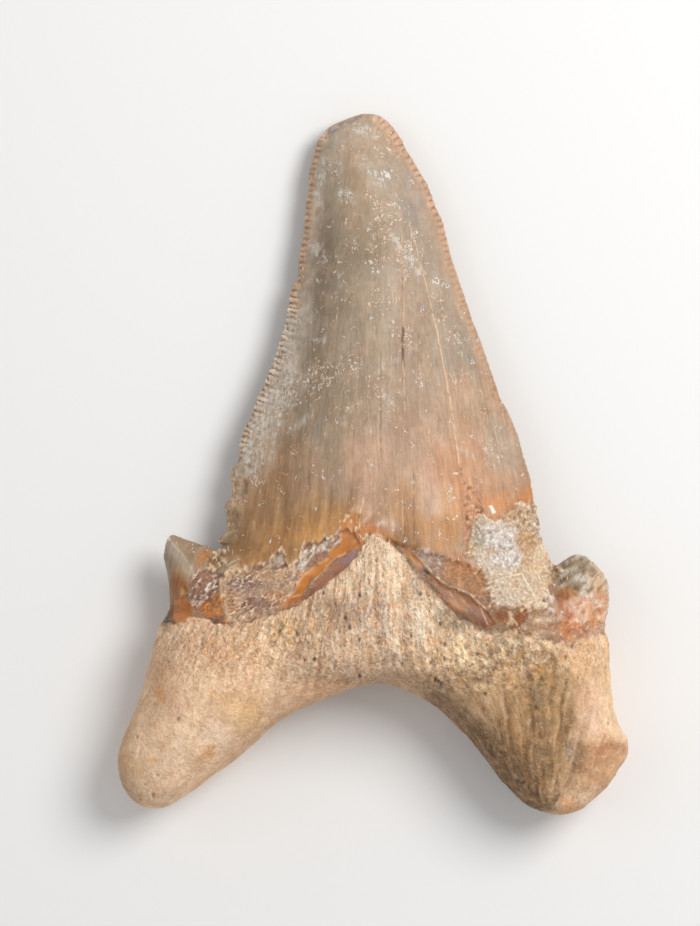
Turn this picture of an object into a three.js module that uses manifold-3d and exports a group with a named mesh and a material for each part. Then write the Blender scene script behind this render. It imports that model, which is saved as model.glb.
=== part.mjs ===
// Fossil shark tooth: a tall serrated crown on an arched, two-lobed root, with a small cusplet on each shoulder.
// Units are millimetres. The tooth lies on its flat outer face: +Y points to the tip of the crown,
// +Z points up out of the full, tongue-side face, and the origin is on the surface below its middle.

import * as THREE from 'three';
import { LoftGeometry } from 'three/addons/geometries/LoftGeometry.js';
import { mergeVertices } from 'three/addons/utils/BufferGeometryUtils.js';
import Module from 'manifold-3d';

// ---------- driving dimensions ----------

const TOOTH_LENGTH = 76; // tip of the crown to the ends of the root lobes
const DRAWN_LENGTH = 76; // the same length in the stations below
const REST_TRIM = 0.2; // worn off the three high spots that the tooth lies on
const CROWN_RINGS = 46;
const ROOT_RINGS = 64;
const CUSPLET_RINGS = 12;
const CROWN_POINTS = 32; // points round a section of the crown or of the root
const CUSPLET_POINTS = 18;
const EVEN_SLOPE = 2; // power of a section that rounds off evenly
const ROOT_BLUNTNESS = 2.9; // power of a section with a flatter face and blunter sides
const MERGE_TOLERANCE = 1e-4;

// A station is one section of the tooth, seen from above:
// [left x, left y, right x, right y, height of its edges, rise above them, drop below them, edge shape].
// An edge shape of 0.5 makes an oval, 1 makes a lens, and above 1 the cutting edges thin out into flanges.

const CROWN_STATIONS = [
  [-17.6, -19.4, 19.6, -20.2, 6.2, 4.6, 2.4, 0.50],
  [-20.6, -16.8, 23.4, -17.8, 5.9, 7.6, 3.9, 0.52],
  [-20.2, -14.4, 22.6, -15.4, 5.6, 8.2, 4.4, 0.58],
  [-18.2, -11.6, 20.2, -12.4, 5.2, 8.7, 4.3, 0.72],
  [-17.0, -9.2, 19.2, -10.2, 5.0, 8.8, 4.0, 0.95],
  [-15.8, -6.4, 18.1, -6.9, 4.8, 8.7, 3.7, 1.08],
  [-15.5, -3.6, 17.6, -3.3, 4.7, 8.4, 3.5, 1.14],
  [-14.8, -0.4, 16.7, 0.2, 4.6, 8.0, 3.4, 1.18],
  [-14.0, 3.4, 15.3, 4.4, 4.4, 7.5, 3.4, 1.20],
  [-12.0, 7.9, 13.7, 8.2, 4.2, 6.9, 3.4, 1.20],
  [-10.1, 12.6, 12.2, 12.9, 4.0, 6.3, 3.4, 1.20],
  [-8.8, 18.2, 10.2, 18.3, 3.7, 5.6, 3.3, 1.18],
  [-7.9, 22.4, 8.8, 22.6, 3.5, 5.0, 3.3, 1.16],
  [-7.2, 27.2, 7.4, 27.4, 3.3, 4.2, 3.3, 1.12],
  [-6.7, 31.2, 5.8, 31.2, 3.1, 3.5, 3.1, 1.05],
  [-6.2, 34.4, 3.8, 34.5, 2.9, 2.8, 2.6, 0.92],
  [-5.0, 36.3, 2.3, 36.7, 2.8, 2.0, 1.9, 0.75],
  [-2.9, 37.4, 1.1, 37.7, 2.8, 1.1, 1.0, 0.60],
  [-1.2, 38.0, 0.2, 38.0, 2.8, 0.4, 0.4, 0.50],
];

const ROOT_STATIONS = [
  [-25.5, -36.7, -24.4, -37.3, 5.6, 0.9, 0.9, 0.50],
  [-26.7, -35.4, -22.4, -37.2, 5.5, 3.1, 3.0, 0.50],
  [-27.4, -33.2, -20.1, -35.8, 5.4, 4.9, 4.5, 0.50],
  [-27.3, -30.8, -17.6, -34.1, 5.5, 6.0, 5.3, 0.50],
  [-26.2, -28.0, -15.0, -32.2, 5.6, 6.7, 5.5, 0.50],
  [-24.8, -24.6, -12.8, -30.3, 5.8, 7.2, 5.5, 0.52],
  [-24.0, -21.2, -10.4, -28.2, 6.0, 7.5, 5.4, 0.55],
  [-23.2, -18.2, -7.7, -26.7, 6.2, 7.4, 5.2, 0.60],
  [-22.2, -16.0, -5.0, -25.4, 6.3, 7.6, 5.1, 0.65],
  [-14.8, -14.4, -3.0, -24.5, 6.5, 8.6, 4.9, 0.60],
  [-7.8, -11.2, -1.2, -23.9, 6.7, 9.3, 4.8, 0.52],
  [0.0, -4.8, 0.4, -23.7, 6.8, 9.6, 4.8, 0.50],
  [7.8, -11.8, 2.0, -23.9, 6.7, 9.3, 4.8, 0.52],
  [15.4, -15.6, 3.9, -24.6, 6.5, 8.6, 4.9, 0.60],
  [24.6, -16.6, 5.9, -25.6, 6.3, 7.6, 5.1, 0.65],
  [25.5, -18.9, 8.6, -27.9, 6.2, 7.4, 5.2, 0.60],
  [25.8, -22.6, 10.9, -30.2, 6.0, 7.4, 5.4, 0.55],
  [26.3, -26.8, 12.9, -32.7, 5.8, 7.1, 5.7, 0.52],
  [27.3, -30.4, 14.8, -34.9, 5.6, 6.5, 5.6, 0.50],
  [26.6, -32.9, 16.9, -36.9, 5.5, 5.6, 5.1, 0.50],
  [24.9, -35.4, 19.0, -37.7, 5.4, 4.4, 4.0, 0.50],
  [22.9, -37.0, 20.8, -38.0, 5.4, 2.6, 2.4, 0.50],
  [22.1, -37.5, 21.4, -37.9, 5.4, 0.9, 0.9, 0.50],
];

const LEFT_CUSPLET_STATIONS = [
  [-21.6, -19.0, -14.6, -18.0, 5.8, 3.2, 2.6, 0.50],
  [-21.9, -15.0, -15.2, -12.8, 5.7, 3.3, 2.3, 0.60],
  [-22.2, -12.2, -17.0, -9.7, 5.6, 2.6, 1.7, 0.80],
  [-22.7, -10.3, -18.6, -8.6, 5.6, 1.8, 1.2, 0.90],
  [-22.4, -8.7, -20.0, -8.2, 5.6, 1.1, 0.8, 0.80],
  [-22.0, -7.8, -21.3, -7.7, 5.6, 0.5, 0.4, 0.60],
];

const RIGHT_CUSPLET_STATIONS = [
  [16.6, -19.4, 24.8, -20.0, 5.9, 4.2, 3.4, 0.50],
  [18.2, -13.6, 25.6, -15.6, 5.9, 4.1, 3.0, 0.52],
  [19.6, -11.4, 25.6, -13.4, 5.9, 3.7, 2.6, 0.52],
  [20.6, -10.5, 25.1, -12.0, 6.0, 2.9, 2.1, 0.52],
  [21.6, -9.9, 24.0, -10.7, 6.0, 1.8, 1.3, 0.52],
  [22.3, -9.7, 23.0, -9.9, 6.0, 0.6, 0.5, 0.52],
];

// ---------- solids ----------

const wasm = await Module();
wasm.setup();

function toSolid(geometry) {
  const shell = new THREE.BufferGeometry();
  shell.setAttribute('position', geometry.attributes.position);
  shell.setIndex(geometry.index);
  const merged = mergeVertices(shell, MERGE_TOLERANCE);
  const mesh = new wasm.Mesh({
    numProp: 3,
    vertProperties: new Float32Array(merged.attributes.position.array),
    triVerts: new Uint32Array(merged.index.array),
  });
  return new wasm.Manifold(mesh);
}

function toGeometry(solid) {
  const mesh = solid.getMesh();
  const geometry = new THREE.BufferGeometry();
  geometry.setAttribute('position', new THREE.BufferAttribute(mesh.vertProperties, 3));
  geometry.setIndex(new THREE.BufferAttribute(mesh.triVerts, 1));
  return geometry;
}

// One smooth curve runs along each side of the stations, and one through their heights.
function stationCurves(stations) {
  const left = stations.map(([x, y, , , height]) => new THREE.Vector3(x, y, height));
  const right = stations.map(([, , x, y, height]) => new THREE.Vector3(x, y, height));
  const depth = stations.map(([, , , , , rise, drop, shape]) => new THREE.Vector3(rise, drop, shape));
  return [left, right, depth].map((points) => new THREE.CatmullRomCurve3(points, false, 'centripetal'));
}

// A section is a closed ring between its two edge points. It rises above them and drops below them.
// Its top slopes evenly down to the left edge. The rest of it is as blunt as its bluntness says.
function sectionRing(left, right, depth, pointCount, bluntness) {
  const middle = left.clone().lerp(right, 0.5);
  const halfWidth = right.clone().sub(middle);
  const ring = [];
  for (let i = 0; i < pointCount; i += 1) {
    const angle = (-i / pointCount) * 2 * Math.PI;
    const across = Math.cos(angle);
    const rises = Math.sin(angle) > 0;
    const power = rises && across < 0 ? EVEN_SLOPE : bluntness;
    const fullness = (1 - Math.abs(across) ** power) ** depth.z;
    const height = rises ? depth.x * fullness : -depth.y * fullness;
    const point = middle.clone().addScaledVector(halfWidth, across);
    point.z += height;
    ring.push(point);
  }
  return ring;
}

function loft(stations, ringCount, pointCount, bluntness) {
  const [left, right, depth] = stationCurves(stations);
  const sections = [];
  for (let i = 0; i <= ringCount; i += 1) {
    const along = i / ringCount;
    const [from, to, rise] = [left, right, depth].map((curve) => curve.getPoint(along));
    sections.push(sectionRing(from, to, rise, pointCount, bluntness));
  }
  return toSolid(new LoftGeometry(sections, { capStart: true, capEnd: true }));
}

const crown = loft(CROWN_STATIONS, CROWN_RINGS, CROWN_POINTS, EVEN_SLOPE);
const root = loft(ROOT_STATIONS, ROOT_RINGS, CROWN_POINTS, ROOT_BLUNTNESS);
const leftCusplet = loft(LEFT_CUSPLET_STATIONS, CUSPLET_RINGS, CUSPLET_POINTS, EVEN_SLOPE);
const rightCusplet = loft(RIGHT_CUSPLET_STATIONS, CUSPLET_RINGS, CUSPLET_POINTS, EVEN_SLOPE);
const grown = crown.add(root).add(leftCusplet).add(rightCusplet);

// The surface that the tooth lies on has worn its three high spots flat.
const wearBlock = new THREE.BoxGeometry(DRAWN_LENGTH, 2 * DRAWN_LENGTH, DRAWN_LENGTH);
wearBlock.translate(0, 0, REST_TRIM - DRAWN_LENGTH / 2);
const worn = grown.subtract(toSolid(wearBlock));

// ---------- the object ----------

const toothGeometry = toGeometry(worn);
const size = TOOTH_LENGTH / DRAWN_LENGTH;
toothGeometry.scale(size, size, size);
toothGeometry.computeBoundingBox();
const box = toothGeometry.boundingBox;
const centre = box.getCenter(new THREE.Vector3());
toothGeometry.translate(-centre.x, -centre.y, -box.min.z);
toothGeometry.computeVertexNormals();

const fossilTooth = new THREE.MeshStandardMaterial({ color: 0xb89468, roughness: 0.55, metalness: 0 });
fossilTooth.name = 'fossil_tooth';

const tooth = new THREE.Mesh(toothGeometry, fossilTooth);
tooth.name = 'tooth';

const group = new THREE.Group();
group.add(tooth);

export default group;
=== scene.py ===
# %% [markdown]
# # A fossil shark tooth, lying on its flat face
# A shark's tooth is two tissues grown together. The **crown** is the blade. Its skin is glassy enamel,
# and its cutting edges carry a row of small serrations. The **root** is porous dentine, arched and
# two-lobed, which once sat in the gum. A narrow band of thin enamel, the neck, joins them, and a small
# cusplet stands on each shoulder. After millions of years in sediment the enamel is stained taupe and
# amber, it has cracked along its length, and bits of rock still stick to it.
#
# The solid below the looks comes ready made. This script copies it, gives the copy a much finer skin,
# works every kind of relief into that skin, and then paints it with one material that knows enamel from
# dentine.

import bmesh
import bpy
import numpy as np
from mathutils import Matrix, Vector


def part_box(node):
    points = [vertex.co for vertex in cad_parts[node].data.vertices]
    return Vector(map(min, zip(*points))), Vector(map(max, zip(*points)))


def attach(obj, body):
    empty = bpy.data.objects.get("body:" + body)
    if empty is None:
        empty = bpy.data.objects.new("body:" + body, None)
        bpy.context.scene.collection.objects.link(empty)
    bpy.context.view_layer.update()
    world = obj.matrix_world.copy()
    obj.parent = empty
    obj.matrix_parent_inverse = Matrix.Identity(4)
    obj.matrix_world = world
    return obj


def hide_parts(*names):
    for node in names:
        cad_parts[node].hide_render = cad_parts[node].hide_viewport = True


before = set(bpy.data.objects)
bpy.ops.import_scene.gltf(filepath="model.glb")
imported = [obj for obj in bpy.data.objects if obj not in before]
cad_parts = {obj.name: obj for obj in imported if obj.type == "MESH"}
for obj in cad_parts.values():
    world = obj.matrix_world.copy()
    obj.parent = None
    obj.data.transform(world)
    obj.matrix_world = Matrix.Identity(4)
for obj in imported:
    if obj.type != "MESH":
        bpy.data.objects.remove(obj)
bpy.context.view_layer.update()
tooth_low, tooth_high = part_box("tooth")

# %% [markdown]
# ## Working in millimetres of the tooth
# Every landmark on the tooth, such as the notch beside a cusplet, is easiest to name in millimetres from
# the middle of the outline: x to the right, y towards the tip, z up from the surface it lies on. The
# tooth was drawn 76 mm long, so one drawn millimetre is the solid's length divided by 76. If the solid is
# ever made at another size, each landmark moves with it.

# %% Units
DRAWN_LENGTH = 76
MM = (tooth_high.y - tooth_low.y) / DRAWN_LENGTH


def on_tooth(x, y, z):
    """A place in drawn millimetres, as a Blender vector in metres."""
    return Vector((x, y, z)) * MM


# %% [markdown]
# ## The stage
# A specimen is shown on a pale board under large, soft lamps. The key lamp stands to the upper right and
# low enough to rake over the root, because fibres and pits only show by their small shadows. A weaker
# lamp on the left keeps the shaded flank readable. The camera looks straight down through a long lens, so
# the outline isn't distorted.

# %% Sizes of the stage
FLOOR_SIZE = 4.0  # metres
VIEW_HEIGHT = 100.0  # drawn millimetres that the frame takes in from bottom to top
VIEW_MIDDLE = (-2.27, 0.0)
OUTLINE_HEIGHT = 5.5  # the outline's height above the floor, where the framing is measured
CAMERA_HEIGHT = 420.0
WHITE = (1, 1, 1, 1)
BOARD_GREY = (0.86, 0.86, 0.86, 1)
ROOM_BRIGHTNESS = 0.46
LAMP_TARGET = (0, -2, 6)


def flat_colour(red, green, blue):
    """A colour as it looks on a screen, from 0 to 255, as the linear values that a shader wants."""
    values = np.array([red, green, blue]) / 255
    linear = np.where(values <= 0.04045, values / 12.92, ((values + 0.055) / 1.055) ** 2.4)
    return (*linear, 1.0)


def plain_material(name, colour, roughness):
    material = bpy.data.materials.new(name)
    material.use_nodes = True
    shader = material.node_tree.nodes["Principled BSDF"]
    shader.inputs["Base Color"].default_value = colour
    shader.inputs["Roughness"].default_value = roughness
    return material


def lamp(name, place, size, brightness, colour):
    """A round lamp, as bright as a level white board looks under it alone."""
    light = bpy.data.lights.new(name, "AREA")
    light.shape = "DISK"
    light.size = size * MM
    light.color = colour
    holder = bpy.data.objects.new(name, light)
    bpy.context.scene.collection.objects.link(holder)
    holder.location = on_tooth(*place)
    aim = on_tooth(*LAMP_TARGET) - holder.location
    holder.rotation_euler = aim.to_track_quat("-Z", "Y").to_euler()
    light.energy = brightness * np.pi**2 * aim.length**3 / abs(aim.z)
    print(name, "gives", round(light.energy, 2), "watts")


# %% [markdown]
# ## The board
# One flat face is enough for a board that fills the view.

# %% The board
board = bmesh.new()
bmesh.ops.create_grid(board, x_segments=1, y_segments=1, size=FLOOR_SIZE / 2)
board_mesh = bpy.data.meshes.new("floor")
board.to_mesh(board_mesh)
board.free()
floor = bpy.data.objects.new("floor", board_mesh)
floor.location.z = tooth_low.z
bpy.context.scene.collection.objects.link(floor)
floor.data.materials.append(plain_material("pale_board", BOARD_GREY, 0.9))

# %% [markdown]
# ## Light
# Two round lamps and a dim, even room. Strengths are set by how bright a white board looks under them.

# %% Lamps, and the room's light
lamp("key_lamp", place=(190, 130, 300), size=200, brightness=0.58, colour=(1.0, 0.98, 0.95))
lamp("fill_lamp", place=(-260, 40, 300), size=300, brightness=0.07, colour=(0.95, 0.98, 1.0))

world = bpy.data.worlds.new("soft_room")
world.use_nodes = True
world.node_tree.nodes["Background"].inputs["Color"].default_value = WHITE
world.node_tree.nodes["Background"].inputs["Strength"].default_value = ROOM_BRIGHTNESS
bpy.context.scene.world = world
bpy.context.scene.view_settings.view_transform = "Standard"

# %% [markdown]
# ## The camera
# The lens is worked out from the height of the view, so the tooth fills it at any size.

# %% The camera
lens = bpy.data.cameras.new("camera")
lens.sensor_width = 36
lens.lens = lens.sensor_width * (CAMERA_HEIGHT - OUTLINE_HEIGHT) / VIEW_HEIGHT
lens.clip_start = 0.01
camera = bpy.data.objects.new("camera", lens)
bpy.context.scene.collection.objects.link(camera)
camera.location = on_tooth(*VIEW_MIDDLE, CAMERA_HEIGHT)
bpy.context.scene.camera = camera
print("the lens is", round(lens.lens, 1), "mm long")

# %% [markdown]
# ## Points as numbers
# A fine skin has hundreds of thousands of points. A Python loop over them is slow, so the points go into
# a NumPy table, one row a point, and every sum is done on the whole table at once. `foreach_get` and
# `foreach_set` copy between the mesh and the table.

# %% Reading and writing points
def read_points(mesh):
    flat = np.empty(len(mesh.vertices) * 3, np.float32)
    mesh.vertices.foreach_get("co", flat)
    return flat.reshape(-1, 3).astype(float) / MM


def write_points(mesh, points):
    mesh.vertices.foreach_set("co", (points * MM).astype(np.float32).ravel())
    mesh.update()


def read_normals(mesh):
    flat = np.empty(len(mesh.vertices) * 3, np.float32)
    mesh.vertex_normals.foreach_get("vector", flat)
    return flat.reshape(-1, 3).astype(float)


def read_edges(mesh):
    flat = np.empty(len(mesh.edges) * 2, np.int32)
    mesh.edges.foreach_get("vertices", flat)
    return flat.reshape(-1, 2)


def neighbour_mean(points, edges):
    """For every point, the middle of the points that an edge joins it to."""
    ends = np.concatenate([edges[:, 0], edges[:, 1]])
    others = np.concatenate([edges[:, 1], edges[:, 0]])
    count = np.bincount(ends, minlength=len(points))
    sums = [np.bincount(ends, weights=points[others, axis], minlength=len(points)) for axis in range(3)]
    return np.stack(sums, axis=1) / count[:, None]


def relax(points, edges, strength, rounds):
    """Moves every point towards its neighbours' middle, by its strength on each axis."""
    for _ in range(rounds):
        points = points + (neighbour_mean(points, edges) - points) * strength
    return points


def ease(low, high, values):
    """0 below low, 1 above high, and an S-shaped slope between them."""
    share = np.clip((values - low) / (high - low), 0, 1)
    return share * share * (3 - 2 * share)


def bump(values, width):
    """A soft hill, 1 where the value is 0, and almost gone at twice the width."""
    return np.exp(-((values / width) ** 2))


# %% [markdown]
# ## Natural randomness
# Fibres, grains and plates are random but not white noise. **Gradient noise** makes smooth lumps of one
# size, and stacking it at halved sizes makes stone. **Cell noise** scatters one seed in each cube and
# measures the distance to the nearest one, which makes pits and grains. Both draw from a table that is
# filled with a fixed seed, so the tooth comes out the same each time.

# %% Noise
TABLE_SIZE = 4096
noise_table = np.random.default_rng(7).normal(size=(TABLE_SIZE, 3))
noise_table /= np.linalg.norm(noise_table, axis=1, keepdims=True)
noise_slopes = noise_table.T.copy()
seed_table = np.random.default_rng(11).random((TABLE_SIZE, 3))
seed_spots = seed_table.T.copy()
print("the noise draws from", TABLE_SIZE, "directions and", TABLE_SIZE, "seeds")
PRIMES = (73856093, 19349663, 83492791)
SEED_STEP = 2654435
SEED_START = 97
OCTAVE_SHIFT = 17.3  # keeps the octaves' zeros from meeting at the origin
LUMP_GAIN = 1.6  # brings the noise to about -1 and 1


def table_rows(cell_x, cell_y, cell_z, seed):
    """Which row of a table each cell of space draws. Neighbours draw rows far apart."""
    mixed = cell_x * PRIMES[0] ^ cell_y * PRIMES[1] ^ cell_z * PRIMES[2] ^ (seed * SEED_STEP + SEED_START)
    return (mixed ^ (mixed >> 15)) & (TABLE_SIZE - 1)


def lumps_once(points, seed):
    cells = np.floor(points.T).astype(np.int64)
    inside = points.T - cells
    blends = inside**3 * (inside * (inside * 6 - 15) + 10)
    total = np.zeros(len(points))
    for step in np.ndindex(2, 2, 2):
        rows = table_rows(*(cell + one for cell, one in zip(cells, step)), seed)
        pull = sum(slope[rows] * (share - one) for slope, share, one in zip(noise_slopes, inside, step))
        for blend, one in zip(blends, step):
            pull *= blend if one else 1 - blend
        total += pull
    return total


def lumps(points, size, seed, octaves=1):
    """Gradient noise from about -1 to 1, with lumps of that size and finer ones on them."""
    total = np.zeros(len(points))
    for octave in range(octaves):
        total += lumps_once(points * 2**octave / size + OCTAVE_SHIFT * octave, seed + octave) / 2**octave
    return total * LUMP_GAIN


def seed_distance(points, size, seed):
    """Distance to the nearest scattered seed, as a share of the spacing."""
    scaled = points.T / size
    cells = np.floor(scaled).astype(np.int64)
    nearest = np.full(len(points), np.inf)
    for step in np.ndindex(3, 3, 3):
        near = [cell + one - 1 for cell, one in zip(cells, step)]
        rows = table_rows(*near, seed)
        gap = sum((cell + spot[rows] - place) ** 2 for cell, spot, place in zip(near, seed_spots, scaled))
        nearest = np.minimum(nearest, gap)
    return np.sqrt(nearest)


# %% [markdown]
# ## The fine skin
# The solid is made of facets a millimetre wide. The Remesh modifier wraps a copy in an even net, which is
# then relaxed: on the crown only up and down, so that its outline and its thin edges keep their place,
# and on the root in every direction. A Subdivision Surface modifier splits each quad of the net in four
# and rounds it.

# %% Copy, merge, remesh and relax
NET_SIZE = 0.25
MERGE_DISTANCE = 0.001
CROWN_ROUNDS = 60
ROOT_ROUNDS = 10

merged = bmesh.new()
merged.from_mesh(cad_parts["tooth"].data)
bmesh.ops.remove_doubles(merged, verts=merged.verts, dist=MERGE_DISTANCE * MM)
bmesh.ops.recalc_face_normals(merged, faces=merged.faces)
tooth_mesh = bpy.data.meshes.new("fossil_tooth")
merged.to_mesh(tooth_mesh)
merged.free()
tooth = bpy.data.objects.new("fossil_tooth", tooth_mesh)
bpy.context.scene.collection.objects.link(tooth)


def add_modifier(piece, kind, **settings):
    modifier = piece.modifiers.new(kind.lower(), kind)
    for setting, value in settings.items():
        setattr(modifier, setting, value)
    return modifier


def apply_modifiers(piece):
    """Makes the mesh that the modifiers give the piece's own mesh."""
    scene_graph = bpy.context.evaluated_depsgraph_get()
    made = bpy.data.meshes.new_from_object(piece.evaluated_get(scene_graph))
    piece.modifiers.clear()
    piece.data = made
    return made


add_modifier(tooth, "REMESH", mode="VOXEL", voxel_size=NET_SIZE * MM)
net = apply_modifiers(tooth)
points = read_points(net)
edges = read_edges(net)
print("the net has", len(points), "points")

up_down_only = np.array([0.0, 0.0, 1.0])
every_way = np.array([1.0, 1.0, 1.0])
blade = ease(-12, -6, points[:, 1])[:, None]
points = relax(points, edges, up_down_only * blade, CROWN_ROUNDS)
points = relax(points, edges, every_way * (1 - blade), ROOT_ROUNDS)
write_points(net, points)
add_modifier(tooth, "SUBSURF", levels=1, render_levels=1)
skin = apply_modifiers(tooth)
points = read_points(skin)
edges = read_edges(skin)
print("the skin has", len(points), "points")

# %% [markdown]
# ## Landmarks
# The borders between the tissues are drawn as lines of a few points each, in drawn millimetres, as they
# lie when the full face is up. `near_line` measures every point of the skin against such a line, and
# `depth_in` measures how far it lies inside a closed outline. A little noise on the measure makes a
# border ragged, as broken enamel is.

# %% Measuring against lines and outlines
FAR = 9.0


def near_line(places, line):
    """How far each place is from the line, and how far along the line the nearest spot lies."""
    line = np.array(line, float)
    away = np.full(len(places), FAR)
    along = np.zeros(len(places))
    within = np.all((places > line.min(0) - FAR) & (places < line.max(0) + FAR), axis=1)
    near = places[within]
    near_away = away[within]
    near_along = along[within]
    start = 0.0
    for a, b in zip(line[:-1], line[1:]):
        step = b - a
        length = np.hypot(*step)
        share = np.clip((near - a) @ step / length**2, 0, 1)
        gap = np.hypot(*(near - a - share[:, None] * step).T)
        closer = gap < near_away
        near_away = np.where(closer, gap, near_away)
        near_along = np.where(closer, start + share * length, near_along)
        start += length
    away[within] = near_away
    along[within] = near_along
    return away, along


def depth_in(places, outline):
    """Distance inside a closed outline, and below 0 outside it."""
    closed = np.array([*outline, outline[0]], float)
    away, _ = near_line(places, closed)
    x, y = places.T
    inside = np.zeros(len(places), bool)
    for (ax, ay), (bx, by) in zip(closed[:-1], closed[1:]):
        if ay != by:
            crosses = (ay > y) != (by > y)
            inside ^= crosses & (x < (bx - ax) * (y - ay) / (by - ay) + ax)
    return np.where(inside, away, -away)


def depth_above(places, line):
    """Distance above a line that runs from left to right, and below 0 under it."""
    away, _ = near_line(places, line)
    across, up = np.array(line, float).T
    return np.where(places[:, 1] > np.interp(places[:, 0], across, up), away, -away)


# %% [markdown]
# ## Where one tissue ends
# The enamel ends in a broken, wandering edge, and the root begins lower down, at another line. A line of
# points can be read and moved one point at a time, which a painted mask can't.

# %% The borders of enamel, neck and root
ROOT_BORDER = [
    (-28, -16.6), (-21.4, -17.2), (-20.4, -17.3), (-19.4, -16.7), (-17.6, -16.6), (-15.7, -17.2),
    (-13.1, -16.8), (-10.3, -16.0), (-7.8, -15.0), (-5.6, -13.4), (-3.7, -11.9), (-1.8, -10.1),
    (-1.0, -8.8), (-0.5, -7.7), (0.8, -7.6), (2.1, -8.6), (3.5, -9.8), (4.3, -11.1), (5.3, -12.4),
    (6.8, -13.9), (8.2, -15.3), (9.2, -16.3), (12.1, -17.7), (16.2, -18.1), (17.4, -18.8), (21.1, -19.3),
    (24.0, -18.6), (28, -17.6),
]
ENAMEL_EDGE = [
    (-28, -15.2), (-20.7, -15.2), (-19.6, -12.8), (-18.3, -11.6), (-17.0, -11.4), (-15.6, -12.0),
    (-12.7, -11.1), (-11.1, -10.6), (-9.7, -9.1), (-8.9, -11.1), (-7.9, -10.4), (-7.1, -8.6),
    (-6.0, -8.4), (-4.4, -8.0), (-3.4, -7.3), (-2.6, -6.9), (-1.8, -7.6), (-1.1, -8.4), (-0.3, -7.6),
    (0.9, -7.6), (2.1, -8.4), (5.1, -9.1), (7.9, -10.0), (9.9, -10.7), (12.2, -11.7), (14.5, -15.2),
    (17.5, -15.4), (19.4, -15.8), (20.6, -16.9), (28, -17.2),
]
OUTER_ROOT_BORDER = [
    (-28, -17.4), (-16, -16.4), (-8, -14.9), (0, -14.0), (8, -15.2), (15, -17.0), (28, -19),
]
BLADE_LEFT = [
    (-17.1, -9.2), (-16.5, -8.2), (-15.6, -7.1), (-15.7, -5.7), (-15.9, -4.7), (-15.3, -3.9),
    (-14.9, -2.9), (-15.2, -1.9), (-15.3, -1.2), (-14.9, -0.4), (-14.4, 0.2), (-14.3, 2.2), (-14.0, 3.5),
    (-13.3, 4.7), (-12.0, 7.8), (-11.1, 9.9), (-10.5, 11.4), (-9.5, 14.6), (-9.1, 16.7), (-8.6, 19.3),
    (-8.0, 19.7), (-7.9, 22.1), (-7.3, 25.9), (-7.1, 28.7), (-6.9, 29.0), (-6.8, 31.4), (-6.3, 33.3),
    (-6.0, 34.7),
]
TIP = [(-5.2, 36.2), (-3.9, 36.8), (-2.4, 37.4), (-0.5, 38.0), (1.2, 37.6), (2.1, 36.7)]
BLADE_RIGHT = [
    (3.6, 34.7), (4.9, 32.6), (6.4, 30.0), (7.1, 27.9), (7.9, 26.2), (8.7, 22.6), (9.8, 19.3),
    (10.8, 16.4), (12.3, 12.3), (13.3, 9.3), (14.0, 7.0), (14.9, 5.6), (15.8, 3.3), (16.6, 0.6),
    (17.3, -1.6), (17.7, -4.6), (17.9, -6.2), (18.3, -8.2), (18.7, -9.8),
]
BLADE = [*BLADE_LEFT, *TIP, *BLADE_RIGHT]
blade_steps = np.hypot(*np.diff(np.array(BLADE), axis=0).T)
blade_runs = np.concatenate([[0], np.cumsum(blade_steps)])
print("the blade's edge is", round(blade_runs[-1], 1), "mm long")

# %% [markdown]
# ## The cutting edges
# The blade's edges come first, because everything near them is measured from them. The net rounded them a
# little, so each row of the crown is stretched until it reaches the drawn edge. The drawn edge has the
# bites where flakes have broken off the lower left, and the two small steps higher up. The serrations
# follow: a row of beads, each with a notch beside it. They are bold along the middle of the left edge and
# worn low elsewhere.

# %% Stretch the crown to its edges
EDGE_REACH = 2.6  # how far in from the edge the skin is stretched
ROW = 0.4
ROWS = np.arange(-9.4, 36, ROW)
CROWN_FOOT = -9.6
CROWN_SIDES = (-17.8, 19.2)


def edge_by_rows(points, side):
    """The crown's outermost x in each row, on the left (-1) or the right (1)."""
    x, y, _ = points.T
    crown = (y > CROWN_FOOT) & (x > CROWN_SIDES[0]) & (x < CROWN_SIDES[1])
    return np.array([(x[crown & (abs(y - row) < ROW / 2)] * side).max() * side for row in ROWS])


def stretch(points, line, side):
    """Moves the skin near one edge until the edge is where the line says."""
    found = edge_by_rows(points, side)
    wanted_x, wanted_y = np.array(line, float).T
    order = np.argsort(wanted_y)
    wanted = np.interp(ROWS, wanted_y[order], wanted_x[order])
    shift = np.interp(points[:, 1], ROWS, wanted - found)
    inward = (np.interp(points[:, 1], ROWS, found) - points[:, 0]) * side
    crown = ease(-9.8, -8.8, points[:, 1]) * (1 - ease(34.2, 35.6, points[:, 1])) * (inward > -1)
    points[:, 0] += shift * crown * (1 - ease(0, EDGE_REACH, inward))
    print("the edge moved by up to", round(abs(wanted - found)[2:-3].max(), 2), "mm")


stretch(points, BLADE_LEFT, -1)
stretch(points, BLADE_RIGHT, 1)
write_points(skin, points)
normals = read_normals(skin)

# %% [markdown]
# ## The serrations
# Each serration is a bead of enamel, which runs over the border as a low ridge on both faces. An array of
# copies would look stamped, so the edge is measured along its length, the beads are counted along it with
# a spacing that wavers, and the skin is pulled in between them.

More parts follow.
